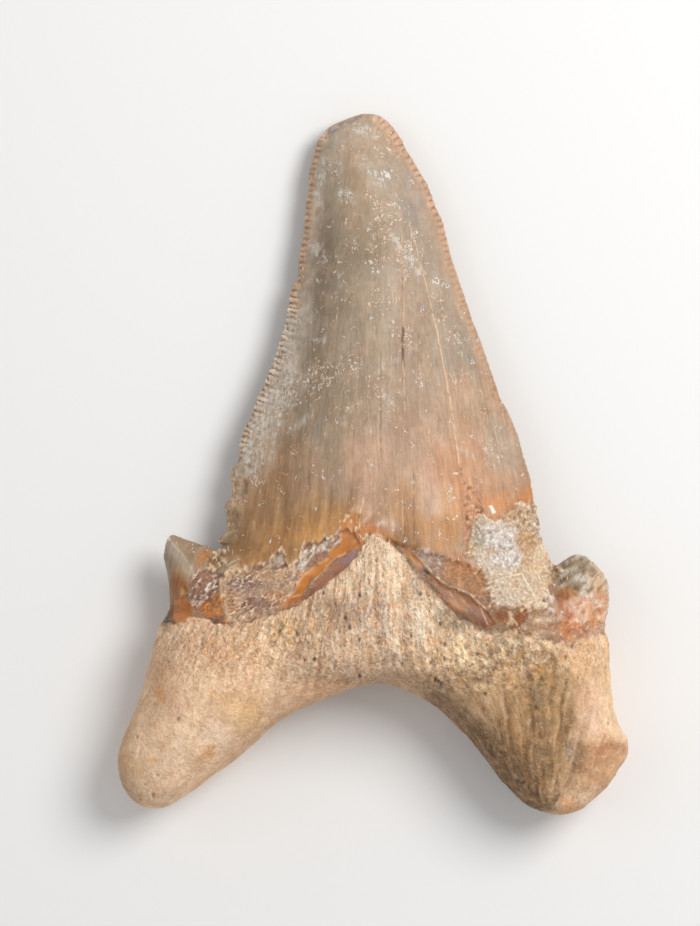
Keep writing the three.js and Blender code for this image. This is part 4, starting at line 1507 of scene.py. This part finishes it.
# painted shade in the furrows and painted light on the ridges
wash((182, 138, 110), in_root * top * middle * ease(0.05, 0.5, -furrow) * 0.4)
wash((206, 186, 164), in_root * top * middle * ease(0.15, 0.6, furrow) * 0.4)
wash((182, 144, 112), in_root * top * ease(0.05, 0.6, -furrow) * (0.2 + 0.2 * middle))
on_lobe = in_root * lobe * ease(0.35, 0.75, facing) * (1 - ease(21.5, 24, x))
wash((120, 90, 60), on_lobe * ease(0.0, 0.5, lobe_streak) * ease(-0.5, 0.3, cloud + 0.5 * patchy) * 0.6)
wash((214, 172, 126), on_lobe * ease(0.1, 0.6, -lobe_streak) * 0.55)
beside_channel = in_root * top * bump(root_depth - 0.9, 1.0) * ease(2, 5, x) * (1 - ease(14, 18, x))
wash((176, 162, 142), beside_channel * ease(-0.6, 0.2, mottle) * 0.7)
wash((112, 98, 82), beside_channel * ease(0.2, 0.5, crumbs + 0.3 * rough) * 0.6)
measure("the crumbly upper root", crumbly)

# %% [markdown]
# ## Glazes
# A glaze multiplies the colour below it, so the detail under it stays. Here it corrects whole areas:
# cooler, warmer, lighter or darker. The pits are darkened last, so that no glaze lightens them.

# %% Last glazes, and dark pits
glaze_patches(top, [
    ((0.72, 0.80, 0.83), (9.0, -16.2, 2.2, 1.2)),
    ((1.10, 1.20, 1.17), (24.0, -16.0, 1.6, 1.6)),
    ((0.90, 0.80, 0.46), (-20.8, -16.0, 1.4, 1.4)),
])
glaze(1.24, 1.10, 0.90, left_cusplet * blob(-20.8, -12.2, 1.4, 1.4))
glaze_patches(in_root, [
    ((1.22, 1.11, 1.00), (-5.8, -24.0, 3.0, 1.2)),
    ((0.88, 0.82, 0.79), (-21.6, -23.4, 1.8, 4.0)),
    ((1.00, 1.06, 1.16), (-16.0, -28.0, 2.6, 2.4)),
    ((1.05, 1.14, 1.28), (4.0, -16.6, 3.0, 2.6)),
    ((1.00, 1.05, 1.13), (-1.0, -16.0, 3.0, 3.0)),
    ((1.16, 1.20, 1.22), (9.4, -20.0, 2.2, 1.8)),
    ((1.20, 1.18, 1.18), (-11.0, -20.4, 2.6, 1.8)),
    ((0.88, 0.80, 0.75), (-16.0, -20.0, 2.2, 2.2)),
    ((0.82, 0.81, 0.78), (18.8, -27.5, 3.2, 7.5)),
    ((1.12, 1.10, 1.06), (-20.8, -28.4, 2.2, 2.2)),
])
wash((70, 72, 76), pits * 0.8)
wash((110, 92, 76), in_root * pinholes * 0.5)
measure("the root's pinholes", in_root * pinholes)

# %% [markdown]
# ## Moving the skin
# Now the skin moves along its normals by the sum of all the relief. Then the hollows are measured: where
# a point lies below its neighbours' middle, the material paints shade into its colour, and where it lies
# above, painted light. An attribute stores a number for each point, which the material can read and the
# later modifiers carry along.

# %% Move the points, and keep the masks on the skin
points += normals * rise[:, None]
points[:, 2] = np.maximum(points[:, 2], 0)  # it lies on the board, not in it
write_points(skin, points)
print("relief from", round(rise.min(), 2), "to", round(rise.max(), 2), "mm")


def keep(name, values):
    """Keeps one number for each point of the skin, where the material can read it."""
    attribute = skin.attributes.new(name, "FLOAT", "POINT")
    attribute.data.foreach_set("value", np.clip(values, -1, 1).astype(np.float32))


DEEPEST = 0.05
smoothed = neighbour_mean(neighbour_mean(points, edges), edges)
cavity = np.einsum("ij,ij->i", smoothed - points, read_normals(skin))

# %% [markdown]
# ## Frost and flecks
# White frost is etched enamel, and the flecks are dust and tiny curls of enamel. They are too fine for
# the skin's net, so only their places are stored, and the material draws them.

# %% Places for frost and flecks
FROSTED = [
    (-14.6, 0), (-13.4, 5.5), (-11.0, 11.0), (-9.4, 16.5), (-7.6, 16.0), (-8.4, 11), (-7.2, 8.5),
    (-9.8, 5), (-11.5, 0.5), (-13.5, -2),
]
SMEARS = [  # the line and its half width
    ([(-1.0, 32.7), (0.0, 31.6), (0.9, 30.3)], 0.5), ([(-5.4, 32.7), (-3.4, 32.1)], 0.3),
    ([(-5.6, 31.3), (-5.4, 30.2)], 0.4), ([(-5.8, 29.3), (-5.6, 27.8)], 0.35),
    ([(-6.3, 23.7), (-5.2, 22.0)], 0.5), ([(2.6, 24.2), (5.2, 20.6)], 0.5),
    ([(-1.6, 36.4), (0.6, 35.5)], 0.5), ([(-3.1, 29.2), (-2.0, 28.4)], 0.4),
    ([(-3.0, 4.3), (-2.3, 5.6), (-1.3, 6.4)], 0.12), ([(1.1, 10.3), (2.7, 10.9)], 0.25),
    ([(3.9, 11.7), (4.5, 12.6)], 0.12), ([(6.7, 3.8), (7.6, 2.2)], 0.12),
    ([(9.5, 1.5), (10.9, 0.8)], 0.14), ([(-0.9, 4.1), (0.4, 3.8)], 0.12),
    ([(-8.6, 3.6), (-6.3, 5.2)], 0.16), ([(-7.2, 13.1), (-4.9, 13.2)], 0.2),
    ([(1.2, 7.4), (2.6, 5.8)], 0.22),
]
FLECKED = [  # middle x and y, half width, half height
    (1.0, 33.7, 2.4, 0.7), (1.5, 30.8, 0.8, 1.4), (-0.3, 28.9, 0.8, 0.7), (2.0, 27.6, 1.8, 1.3),
    (0.6, 25.3, 0.7, 1.6), (2.0, 25.2, 0.8, 1.8), (-2.0, 23.4, 1.0, 1.0), (0.7, 21.7, 1.0, 1.8),
    (4.2, 22.3, 1.6, 2.4), (7.2, 19.6, 1.0, 0.7), (7.3, 16.8, 0.9, 1.6), (1.8, 17.6, 1.6, 1.8),
    (9.6, 13.4, 1.6, 0.9), (9.4, 9.4, 1.2, 0.9), (0.6, 8.4, 1.4, 1.6), (-2.6, 10.2, 1.8, 1.4),
    (2.0, 5.6, 1.0, 1.6), (-5.6, 9.0, 2.0, 1.6), (5.2, 8.4, 0.8, 1.6), (8.2, -3.2, 0.7, 1.6),
    (13.3, 0.8, 1.4, 1.0), (0.4, -5.5, 0.6, 0.9), (1.6, -6.7, 1.2, 0.4), (4.2, 12.8, 1.2, 1.2),
    (12.5, 2.2, 0.8, 0.8), (-9.3, 8.2, 1.2, 1.2), (-7.7, 7.0, 0.8, 0.8), (-10.8, 5.6, 1.2, 1.0),
    (-12.1, 2.5, 1.0, 1.4), (-12.4, -1.9, 0.9, 1.0), (-9.9, -2.7, 0.7, 0.9), (-14.5, -4.3, 0.8, 0.8),
    (-9.6, 12.4, 1.0, 1.6), (-8.2, 15.6, 0.9, 1.4), (-0.5, 36.0, 2.0, 0.9), (-4.4, 31.9, 1.2, 0.8),
    (-2.6, 28.8, 1.0, 1.0), (11.6, -2.1, 0.7, 1.0),
]
flecked = np.zeros(len(points))
for spot in FLECKED:
    flecked = np.maximum(flecked, blob(*spot, 0.6))
colours = skin.attributes.new("stain", "FLOAT_COLOR", "POINT")
colours.data.foreach_set("color", stain.astype(np.float32).ravel())
keep("enamel", in_enamel * (1 - stone))
keep("root", in_root)
keep("stone", stone)
keep("coarse", coarse * in_root)
keep("glass", np.max([orange, 0.7 * brown, 0.7 * amber_lobe, 0.6 * mauve], axis=0))
smears = np.zeros(len(points))
for line, half_width in SMEARS:
    smears = np.maximum(smears, stroke(line, half_width, 0.3))
keep("frost", np.maximum(patch(FROSTED, 1.0, 1.2), smears))
keep("flecked", flecked * in_enamel * top)
keep("cavity", cavity / DEEPEST)
print("the skin keeps", len(skin.attributes), "attributes")

# %% [markdown]
# ## Fewer triangles where the surface is smooth
# The Decimate modifier joins triangles where that changes the shape least, so the smooth enamel gives up
# most of them and the serrations, the crust and the fibres keep theirs. It carries the stain and the
# masks along.

# %% Thin the skin
MOST_TRIANGLES = 196_000
add_modifier(tooth, "DECIMATE", ratio=MOST_TRIANGLES / (2 * len(skin.polygons)))
skin = apply_modifiers(tooth)
skin.polygons.foreach_set("use_smooth", np.ones(len(skin.polygons), bool))
triangles = sum(len(face.vertices) - 2 for face in skin.polygons)
print("the finished skin has", triangles, "triangles")

# %% [markdown]
# ## Sums in a shader
# A material is a net of nodes, and a long sum takes many of them. `Wire` wraps one output socket and
# gives it Python's own signs, so that `1 - mask * 2` adds the Math nodes by itself.

# %% Wire
class Wire:
    """One output socket, with Python's signs for sums."""

    def __init__(self, finish, socket):
        self.finish = finish
        self.socket = socket

    def math(self, operation, *others):
        sockets = dict(enumerate((self, *others)))
        return self.finish.node("ShaderNodeMath", {"operation": operation}, sockets)

    def __add__(self, other):
        return self.math("ADD", other)

    def __sub__(self, other):
        return self.math("SUBTRACT", other)

    def __mul__(self, other):
        return self.math("MULTIPLY", other)

    def __rsub__(self, other):
        return self.finish.node("ShaderNodeMath", {"operation": "SUBTRACT"}, {0: other, 1: self})

    __radd__ = __add__
    __rmul__ = __mul__

    def size(self):
        return self.math("ABSOLUTE")

    def at_most(self, other):
        return self.math("MINIMUM", other)

    def at_least(self, other):
        return self.math("MAXIMUM", other)

    def ease(self, low, high):
        """0 below low, 1 above high, and an S-shaped slope between them."""
        settings = {"interpolation_type": "SMOOTHSTEP"}
        sockets = {"Value": self, "From Min": low, "From Max": high}
        return self.finish.node("ShaderNodeMapRange", settings, sockets)

    def ring(self, middle, inner, outer):
        """1 where the value is close to the middle one, which draws a line along it."""
        return 1 - (self - middle).size().ease(inner, outer)

    def times(self, *factors):
        """A vector stretched by its own factor on each axis."""
        return self.finish.node("ShaderNodeVectorMath", {"operation": "MULTIPLY"}, {0: self, 1: factors})


# %% [markdown]
# ## One material as an object
# `Finish` holds the material. Every node comes from its one method `node`, which makes the settings first
# and then fills the sockets, each with a value or with another wire. Its other methods are short forms of
# it.

# %% Finish
class Finish:
    """One material, built up node by node."""

    def __init__(self, name):
        self.material = bpy.data.materials.new(name)
        self.material.use_nodes = True
        self.tree = self.material.node_tree
        self.shader = self.tree.nodes["Principled BSDF"]

    def node(self, kind, settings=None, sockets=None, output=0):
        """Adds a node, makes its settings, fills its sockets, and wraps one of its outputs."""
        made = self.tree.nodes.new(kind)
        for setting, value in (settings or {}).items():
            setattr(made, setting, value)
        for name, value in (sockets or {}).items():
            self.put(made.inputs[name], value)
        return Wire(self, made.outputs[output])

    def put(self, socket, value):
        if isinstance(value, Wire):
            self.tree.links.new(value.socket, socket)
        else:
            socket.default_value = value

    def stored(self, name, output="Fac"):
        """What the skin keeps for each point under that name."""
        return self.node("ShaderNodeAttribute", {"attribute_name": name}, output=output)

    def noise(self, places, scale, detail=2.0, roughness=0.5):
        """Soft noise. Scale is how many lumps there are in a millimetre."""
        sockets = {"Vector": places, "Scale": scale, "Detail": detail, "Roughness": roughness}
        return self.node("ShaderNodeTexNoise", None, sockets)

    def cells(self, places, scale):
        """The distance to the nearest of many scattered seeds."""
        sockets = {"Vector": places, "Scale": scale}
        return self.node("ShaderNodeTexVoronoi", None, sockets, "Distance")

    def blend(self, below, above, share, way="MIX"):
        """Lays one colour over another, as thickly as the share says."""
        settings = {"data_type": "RGBA", "blend_type": way, "clamp_factor": True}
        return self.node("ShaderNodeMix", settings, {0: share, 6: below, 7: above}, 2)

    def vector(self, x, y, z):
        return self.node("ShaderNodeCombineXYZ", None, {0: x, 1: y, 2: z})


# %% [markdown]
# ## The tooth's material
# One material covers the whole tooth, because it grew as one piece. The stored stain is its ground
# colour. The stored masks then say where to add what is too fine for the skin: hairline streaks, flecks
# and cracks on the enamel, canals and pores on the root, grains on the crust. Enamel and the glassy
# channels get a coat, and dentine and stone stay matt.

# %% Places and fans
fossil = Finish("fossil_tooth")
metres = fossil.node("ShaderNodeTexCoord", output="Object")
place = fossil.node("ShaderNodeVectorMath", {"operation": "SCALE"}, {0: metres, "Scale": 1 / MM})
split = fossil.node("ShaderNodeSeparateXYZ", None, {0: place})
place_x, place_y, place_z = (Wire(fossil, socket) for socket in split.socket.node.outputs)


def shader_fan(centre_x, centre_y, across, lengthwise):
    """The same fan as the one that shaped the folds and fibres."""
    away_x = place_x - centre_x
    away_y = (centre_y - place_y).size()
    angle = away_x.math("ARCTAN2", away_y)
    away = (away_x * away_x + away_y * away_y).math("SQRT")
    return fossil.vector(angle * across, away * lengthwise, place_z * 0.5)


def paint(below, red, green, blue, share):
    """Lays a colour over the colour so far."""
    return fossil.blend(below, own_colour(red, green, blue), share)


def swirled(places, reach):
    """Places pushed about by a slow swirl, so that straight lines wave."""
    sockets = {0: swirl, 1: reach, 2: places}
    return fossil.node("ShaderNodeVectorMath", {"operation": "MULTIPLY_ADD"}, sockets)


swirl = fossil.node("ShaderNodeTexNoise", None, {"Vector": place, "Scale": 0.9, "Detail": 2.0}, "Color")
enamel = fossil.stored("enamel")
root = fossil.stored("root")
stone = fossil.stored("stone")
glass = fossil.stored("glass")
cavity = fossil.stored("cavity")
colour = fossil.stored("stain", "Color")
neck = (1 - enamel - root - stone).at_least(0)


def count_nodes(step):
    """Prints how large the net of nodes has grown."""
    print(step, "bring the material to", len(fossil.tree.nodes), "nodes")


count_nodes("places and masks")

# %% [markdown]
# ## Fine enamel
# Thin streaks follow the same fan as the folds. Noise on squeezed places makes them. `shade` collects
# everything that only lightens or darkens.

# %% Enamel: streaks, rust and frost
enamel_fan = shader_fan(*ENAMEL_FAN, ENAMEL_ACROSS, 0.05)
broad_streak = fossil.noise(enamel_fan, 1.0, 3).ease(0.32, 0.68)
fine_streak = fossil.noise(enamel_fan, 4.8, 3, 0.65).ease(0.32, 0.68)
cloudiness = fossil.noise(place.times(1, 0.6, 1), 0.55, 5, 0.62).ease(0.32, 0.68)
dust = fossil.noise(place.times(1, 0.7, 1), 2.4, 5, 0.75).ease(0.3, 0.7)
lower_half = 1.1 - place_y.ease(8, 26) * 0.8
streaks = (broad_streak - 0.5) * 0.10 + (fine_streak - 0.5) * lower_half * 0.22
shade = 1 + enamel * (streaks + (cloudiness - 0.5) * 0.14 + (dust - 0.5) * 0.2)

rust = fossil.noise(enamel_fan, 2.1, 3).ease(0.54, 0.72) * (1.15 - place_y.ease(6, 24)) * enamel
colour = paint(colour, 196, 142, 100, rust * 0.22)
smudge = fossil.noise(place.times(1, 0.7, 1), 0.5, 5, 0.65).ease(0.48, 0.64) * enamel
colour = paint(colour, 208, 176, 146, smudge * place_y.ease(-6, 6) * 0.32)
shadow_spot = fossil.noise(place.times(1, 0.5, 1), 0.9, 5, 0.65).ease(0.52, 0.68) * enamel
colour = paint(colour, 122, 100, 80, shadow_spot * 0.18)
frost = fossil.noise(place.times(1, 0.8, 1), 1.9, 6, 0.72)
frosted = fossil.stored("frost") * enamel * frost.ease(0.42, 0.56)
colour = paint(colour, 220, 211, 200, frosted * 0.78)
count_nodes("streaks, rust and frost")

# %% [markdown]
# ## Curls and dots
# Seeds are scattered with one cell each. The distance to a seed gives a dot, and a ring of that distance,
# cut by another noise, gives a small curl with a shadow beside it.

# %% Dashes, curls and dots
flecked = fossil.stored("flecked")
swirled_place = swirled(place, (1.8, 1.8, 0))


def scattered(factors, share):
    """The distance to the seed of each cell, and 1 in that share of the cells."""
    near = fossil.cells(swirled_place.times(*factors), 1.0)
    cell_colour = Wire(fossil, near.socket.node.outputs["Color"])
    chance = fossil.node("ShaderNodeSeparateColor", None, {0: cell_colour})
    return near, chance.math("GREATER_THAN", 1 - share)


near, chosen = scattered((2.6, 1.1, 0), flecked * 1.1 + 0.12)
dash = (1 - near.ease(0.12, 0.26)) * chosen
arcs = fossil.noise(place, 1.9, 1)
near, chosen = scattered((1.2, 1.0, 0), flecked * 1.1 + 0.09)
on_arc = chosen * arcs.ease(0.49, 0.55)
curl = near.ring(0.32, 0.02, 0.12) * on_arc
curl_shadow = near.ring(0.45, 0.03, 0.10) * on_arc
near, chosen = scattered((2.1, 1.8, 0), flecked * 1.2 + 0.08)
on_arc = chosen * (1 - arcs.ease(0.47, 0.53))
small_curl = near.ring(0.28, 0.05, 0.13) * on_arc
small_shadow = near.ring(0.48, 0.05, 0.13) * on_arc
fleck_shadow = curl_shadow.at_least(small_shadow) * enamel
near, chosen = scattered((2.5, 2.3, 0), flecked * 0.5 + 0.12)
dots = (1 - near.ease(0.10, 0.22)) * chosen
near, chosen = scattered((3.6, 3.2, 0), flecked * 0.4 + 0.10)
specks = (1 - near.ease(0.16, 0.34)) * chosen * 0.8
fleck_line = curl.at_least(dash).at_least(small_curl).at_least(dots).at_least(specks) * enamel
colour = paint(colour, 112, 90, 70, fleck_shadow * 0.14)
whiter = fossil.noise(place, 0.3, 2).ease(0.5, 0.6)
pale_fleck = fossil.blend(own_colour(238, 208, 182), own_colour(234, 226, 218), whiter)
colour = fossil.blend(colour, pale_fleck, fleck_line * 0.75)
count_nodes("dashes, curls and dots")

# %% [markdown]
# ## Fine cracks
# Each long crack is drawn with the same curve that grooved the skin, and a wiggle keeps it from looking
# ruled. Hairlines and rust lines are the places where a stretched noise has one value.

# %% Cracks
broken = fossil.noise(place, 1.4, 2).ease(0.34, 0.5)
wiggle = (fossil.noise(place.times(0, 1, 0), 0.6, 3) - 0.5) * 0.3


def crack_mask(line, half_width):
    """1 on a crack. Its curve is the same polynomial as that of its groove in the skin."""
    _, up = np.array(line).T
    wanted = 0.0
    for term in crack_curve(line):
        wanted = place_y * wanted + float(term)
    gap = (place_x - wanted + wiggle).size()
    starts = place_y.ease(up.min() - CRACK_FADE, up.min())
    ends = place_y.ease(up.max(), up.max() + CRACK_FADE)
    return (1 - gap.ease(half_width * 0.5, half_width * 1.3)) * (starts * (1 - ends)) * enamel


for line, half_width, crack_stain, strength in CRACKS:
    colour = paint(colour, *crack_stain, crack_mask(line, half_width) * broken * strength)
hairline = fossil.noise(enamel_fan, 0.62, 1).ring(0.5, 0.0, 0.005)
colour = paint(colour, 140, 100, 70, hairline * enamel * broken * 0.5)
rust_line = fossil.noise(enamel_fan.times(1, 0.6, 1), 1.1, 1).ring(0.52, 0.0, 0.008)
rusty = rust_line * enamel * (1 - place_y.ease(8, 18)) * smudge.ease(-0.4, 0.6)
colour = paint(colour, 176, 122, 82, rusty * 0.5)
count_nodes("cracks and hairlines")

# %% [markdown]
# ## The neck close up
# The flaky parts of the neck have wrinkles finer than the skin's net, and grain between them.

# %% Neck: fine wrinkles
flaky = neck * (1 - glass)
wrinkles = fossil.noise(place.times(1, 1.3, 1), 1.7, 5, 0.65).ring(0.5, 0.0, 0.04)
wrinkles = wrinkles * fossil.noise(place, 1.1, 2).ease(0.42, 0.58)
colour = paint(colour, 240, 214, 188, wrinkles * flaky * 0.6)
neck_grain = fossil.noise(place, 2.6, 4, 0.7).ease(0.32, 0.68)
shade = shade + flaky * (neck_grain - 0.5) * 0.6 + glass * (cloudiness - 0.5) * 0.2
count_nodes("wrinkles")

# %% [markdown]
# ## The root close up
# Fine canals run along the root's fan, and pores, speckle and blotches lie between them. The lower root
# is worn smoother, so the stored mask keeps the coarse detail near the neck.

# %% Root: canals, pores and speckle
root_fan = swirled(shader_fan(*ROOT_FAN, ROOT_ACROSS, 0.42), (1.0, 0.6, 0))
canal = fossil.noise(root_fan, 1.2, 3, 0.6).ease(0.38, 0.62)
fine_canal = fossil.noise(root_fan, 2.2, 3, 0.65).ease(0.38, 0.62)
speckle = fossil.noise(place, 2.6, 3, 0.65).ease(0.36, 0.64)
coarse_root = fossil.stored("coarse")
rough_share = root * 0.35 + coarse_root * 0.65
grit = fossil.noise(place, 4.4, 2, 0.6).ease(0.34, 0.66)
lobe_fan = swirled(shader_fan(*LOBE_FAN, LOBE_ACROSS, 0.25), (1.4, 0.6, 0))
soft_streak = fossil.noise(lobe_fan, 1.7, 3, 0.6).ease(0.34, 0.66)
fine_grit = (grit - 0.5) * (coarse_root * 0.16 + 0.14)
shade = shade + root * (fine_grit + (1 - coarse_root) * (soft_streak - 0.5) * 0.16)
shade = shade + rough_share * ((canal - 0.5) * 0.24 + (fine_canal - 0.5) * 0.26 + (speckle - 0.5) * 0.20)
warmth = fossil.noise(place.times(1, 0.6, 1), 1.6, 4, 0.65).ease(0.46, 0.64)
colour = paint(colour, 240, 180, 124, warmth * rough_share * 0.5)
greyness = fossil.noise(root_fan.times(1, 1, 2), 1.2, 4, 0.65).ease(0.50, 0.66)
colour = paint(colour, 196, 172, 146, greyness * rough_share * 0.4)
cream = fossil.noise(root_fan, 2.4, 2, 0.65).ease(0.56, 0.64)
colour = paint(colour, 252, 224, 190, cream * coarse_root * 0.4)
worn_root = (root - coarse_root).at_least(0)
blotch = fossil.noise(place, 0.8, 5, 0.7).ease(0.50, 0.66)
colour = paint(colour, 222, 168, 118, blotch * worn_root * 0.3)
pale_blotch = fossil.noise(place.times(1, 1, 2), 1.3, 4, 0.7).ease(0.52, 0.66)
colour = paint(colour, 240, 212, 182, pale_blotch * worn_root * 0.25)
shade = shade + worn_root * (speckle - 0.5) * 0.12
pore = 1 - fossil.cells(place.times(1, 0.7, 1), 1.3).ease(0.05, 0.13)
pore = pore * fossil.noise(place, 0.4, 1).ease(0.46, 0.58)
colour = paint(colour, 92, 84, 76, pore * rough_share * 0.7)
count_nodes("canals, pores and speckle")

# %% [markdown]
# ## The crust close up
# Cell noise is dark at each joint and pale on each grain, and a few grains are bright crystals.

# %% Crust: pale grains with dark joints
grain = fossil.cells(place, 2.6)
stone_speckle = fossil.noise(place, 2.8, 4, 0.7).ease(0.32, 0.68)
shade = shade + stone * ((0.42 - grain) * 0.25 + (stone_speckle - 0.5) * 0.5)
crystal = fossil.noise(place, 3.4, 1).ease(0.60, 0.68) * stone
colour = paint(colour, 252, 246, 238, crystal * 0.6)
count_nodes("grains")

# %% [markdown]
# ## The finished colour
# The stored hollows darken the colour with painted shade, and the crests lighten it with painted light.
# Shade then multiplies the colour, with a little more effect on blue than on red, so darker places turn
# warmer.

# %% Painted shade in every hollow, painted light on crests, and the finished colour
# painted shade in the hollows and painted light on the crests
shade = shade - cavity.at_least(0) * 0.35 * (1 - glass) - cavity.at_most(0) * 0.25
excess = shade.at_least(0.3).at_most(1.7) - 1
shares = {0: 1 + excess * 0.8, 1: 1 + excess, 2: 1 + excess * 1.2}
tint = fossil.node("ShaderNodeCombineColor", None, shares)
colour = fossil.blend(colour, tint, 1.0, "MULTIPLY")
fossil.put(fossil.shader.inputs["Base Color"], colour)
count_nodes("hollows and the last tint")

# %% [markdown]
# ## Gloss and fine relief
# Enamel has a soft sheen, the glassy channels shine, and the root is nearly matt. The Bump node adds only
# relief that is finer than the net. Each height is in millimetres.

# %% Gloss and bump
roughness = 0.6 - enamel * 0.14 + root * 0.28 + stone * 0.25 - glass * 0.36 + (cloudiness - 0.5) * 0.2
roughness = roughness + fleck_line * 0.15 + frosted * 0.2
fossil.put(fossil.shader.inputs["Roughness"], roughness.at_least(0.12).at_most(1.0))
coat = enamel * 0.15 * (1 - frosted) + glass * 0.25
fossil.put(fossil.shader.inputs["Coat Weight"], coat.at_most(1.0))
for socket_name, value in {"Coat Roughness": 0.28, "Specular IOR Level": 0.35, "IOR": 1.5}.items():
    fossil.shader.inputs[socket_name].default_value = value
height = enamel * (fine_streak * 0.010 + fleck_line * 0.05 + frosted * 0.03 + dust * 0.015)
canal_height = canal * 0.08 + fine_canal * 0.06 + speckle * 0.06 - pore * 0.1
height = height + root * grit * 0.03 + rough_share * canal_height
height = height + stone * (stone_speckle * 0.10 - grain * 0.12)
height = height + flaky * (wrinkles * 0.06 + neck_grain * 0.08)
bumped = fossil.node("ShaderNodeBump", None, {"Strength": 1.0, "Distance": MM, "Height": height})
fossil.put(fossil.shader.inputs["Normal"], bumped)
count_nodes("gloss and bump")

# %% [markdown]
# ## One piece, one material
# The finished skin takes the solid's place, and the tooth's one material goes on it.

# %% Put it on the tooth
skin.materials.clear()
skin.materials.append(fossil.material)
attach(tooth, "root")
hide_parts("tooth")
print(tooth.name, "has the material", fossil.material.name)
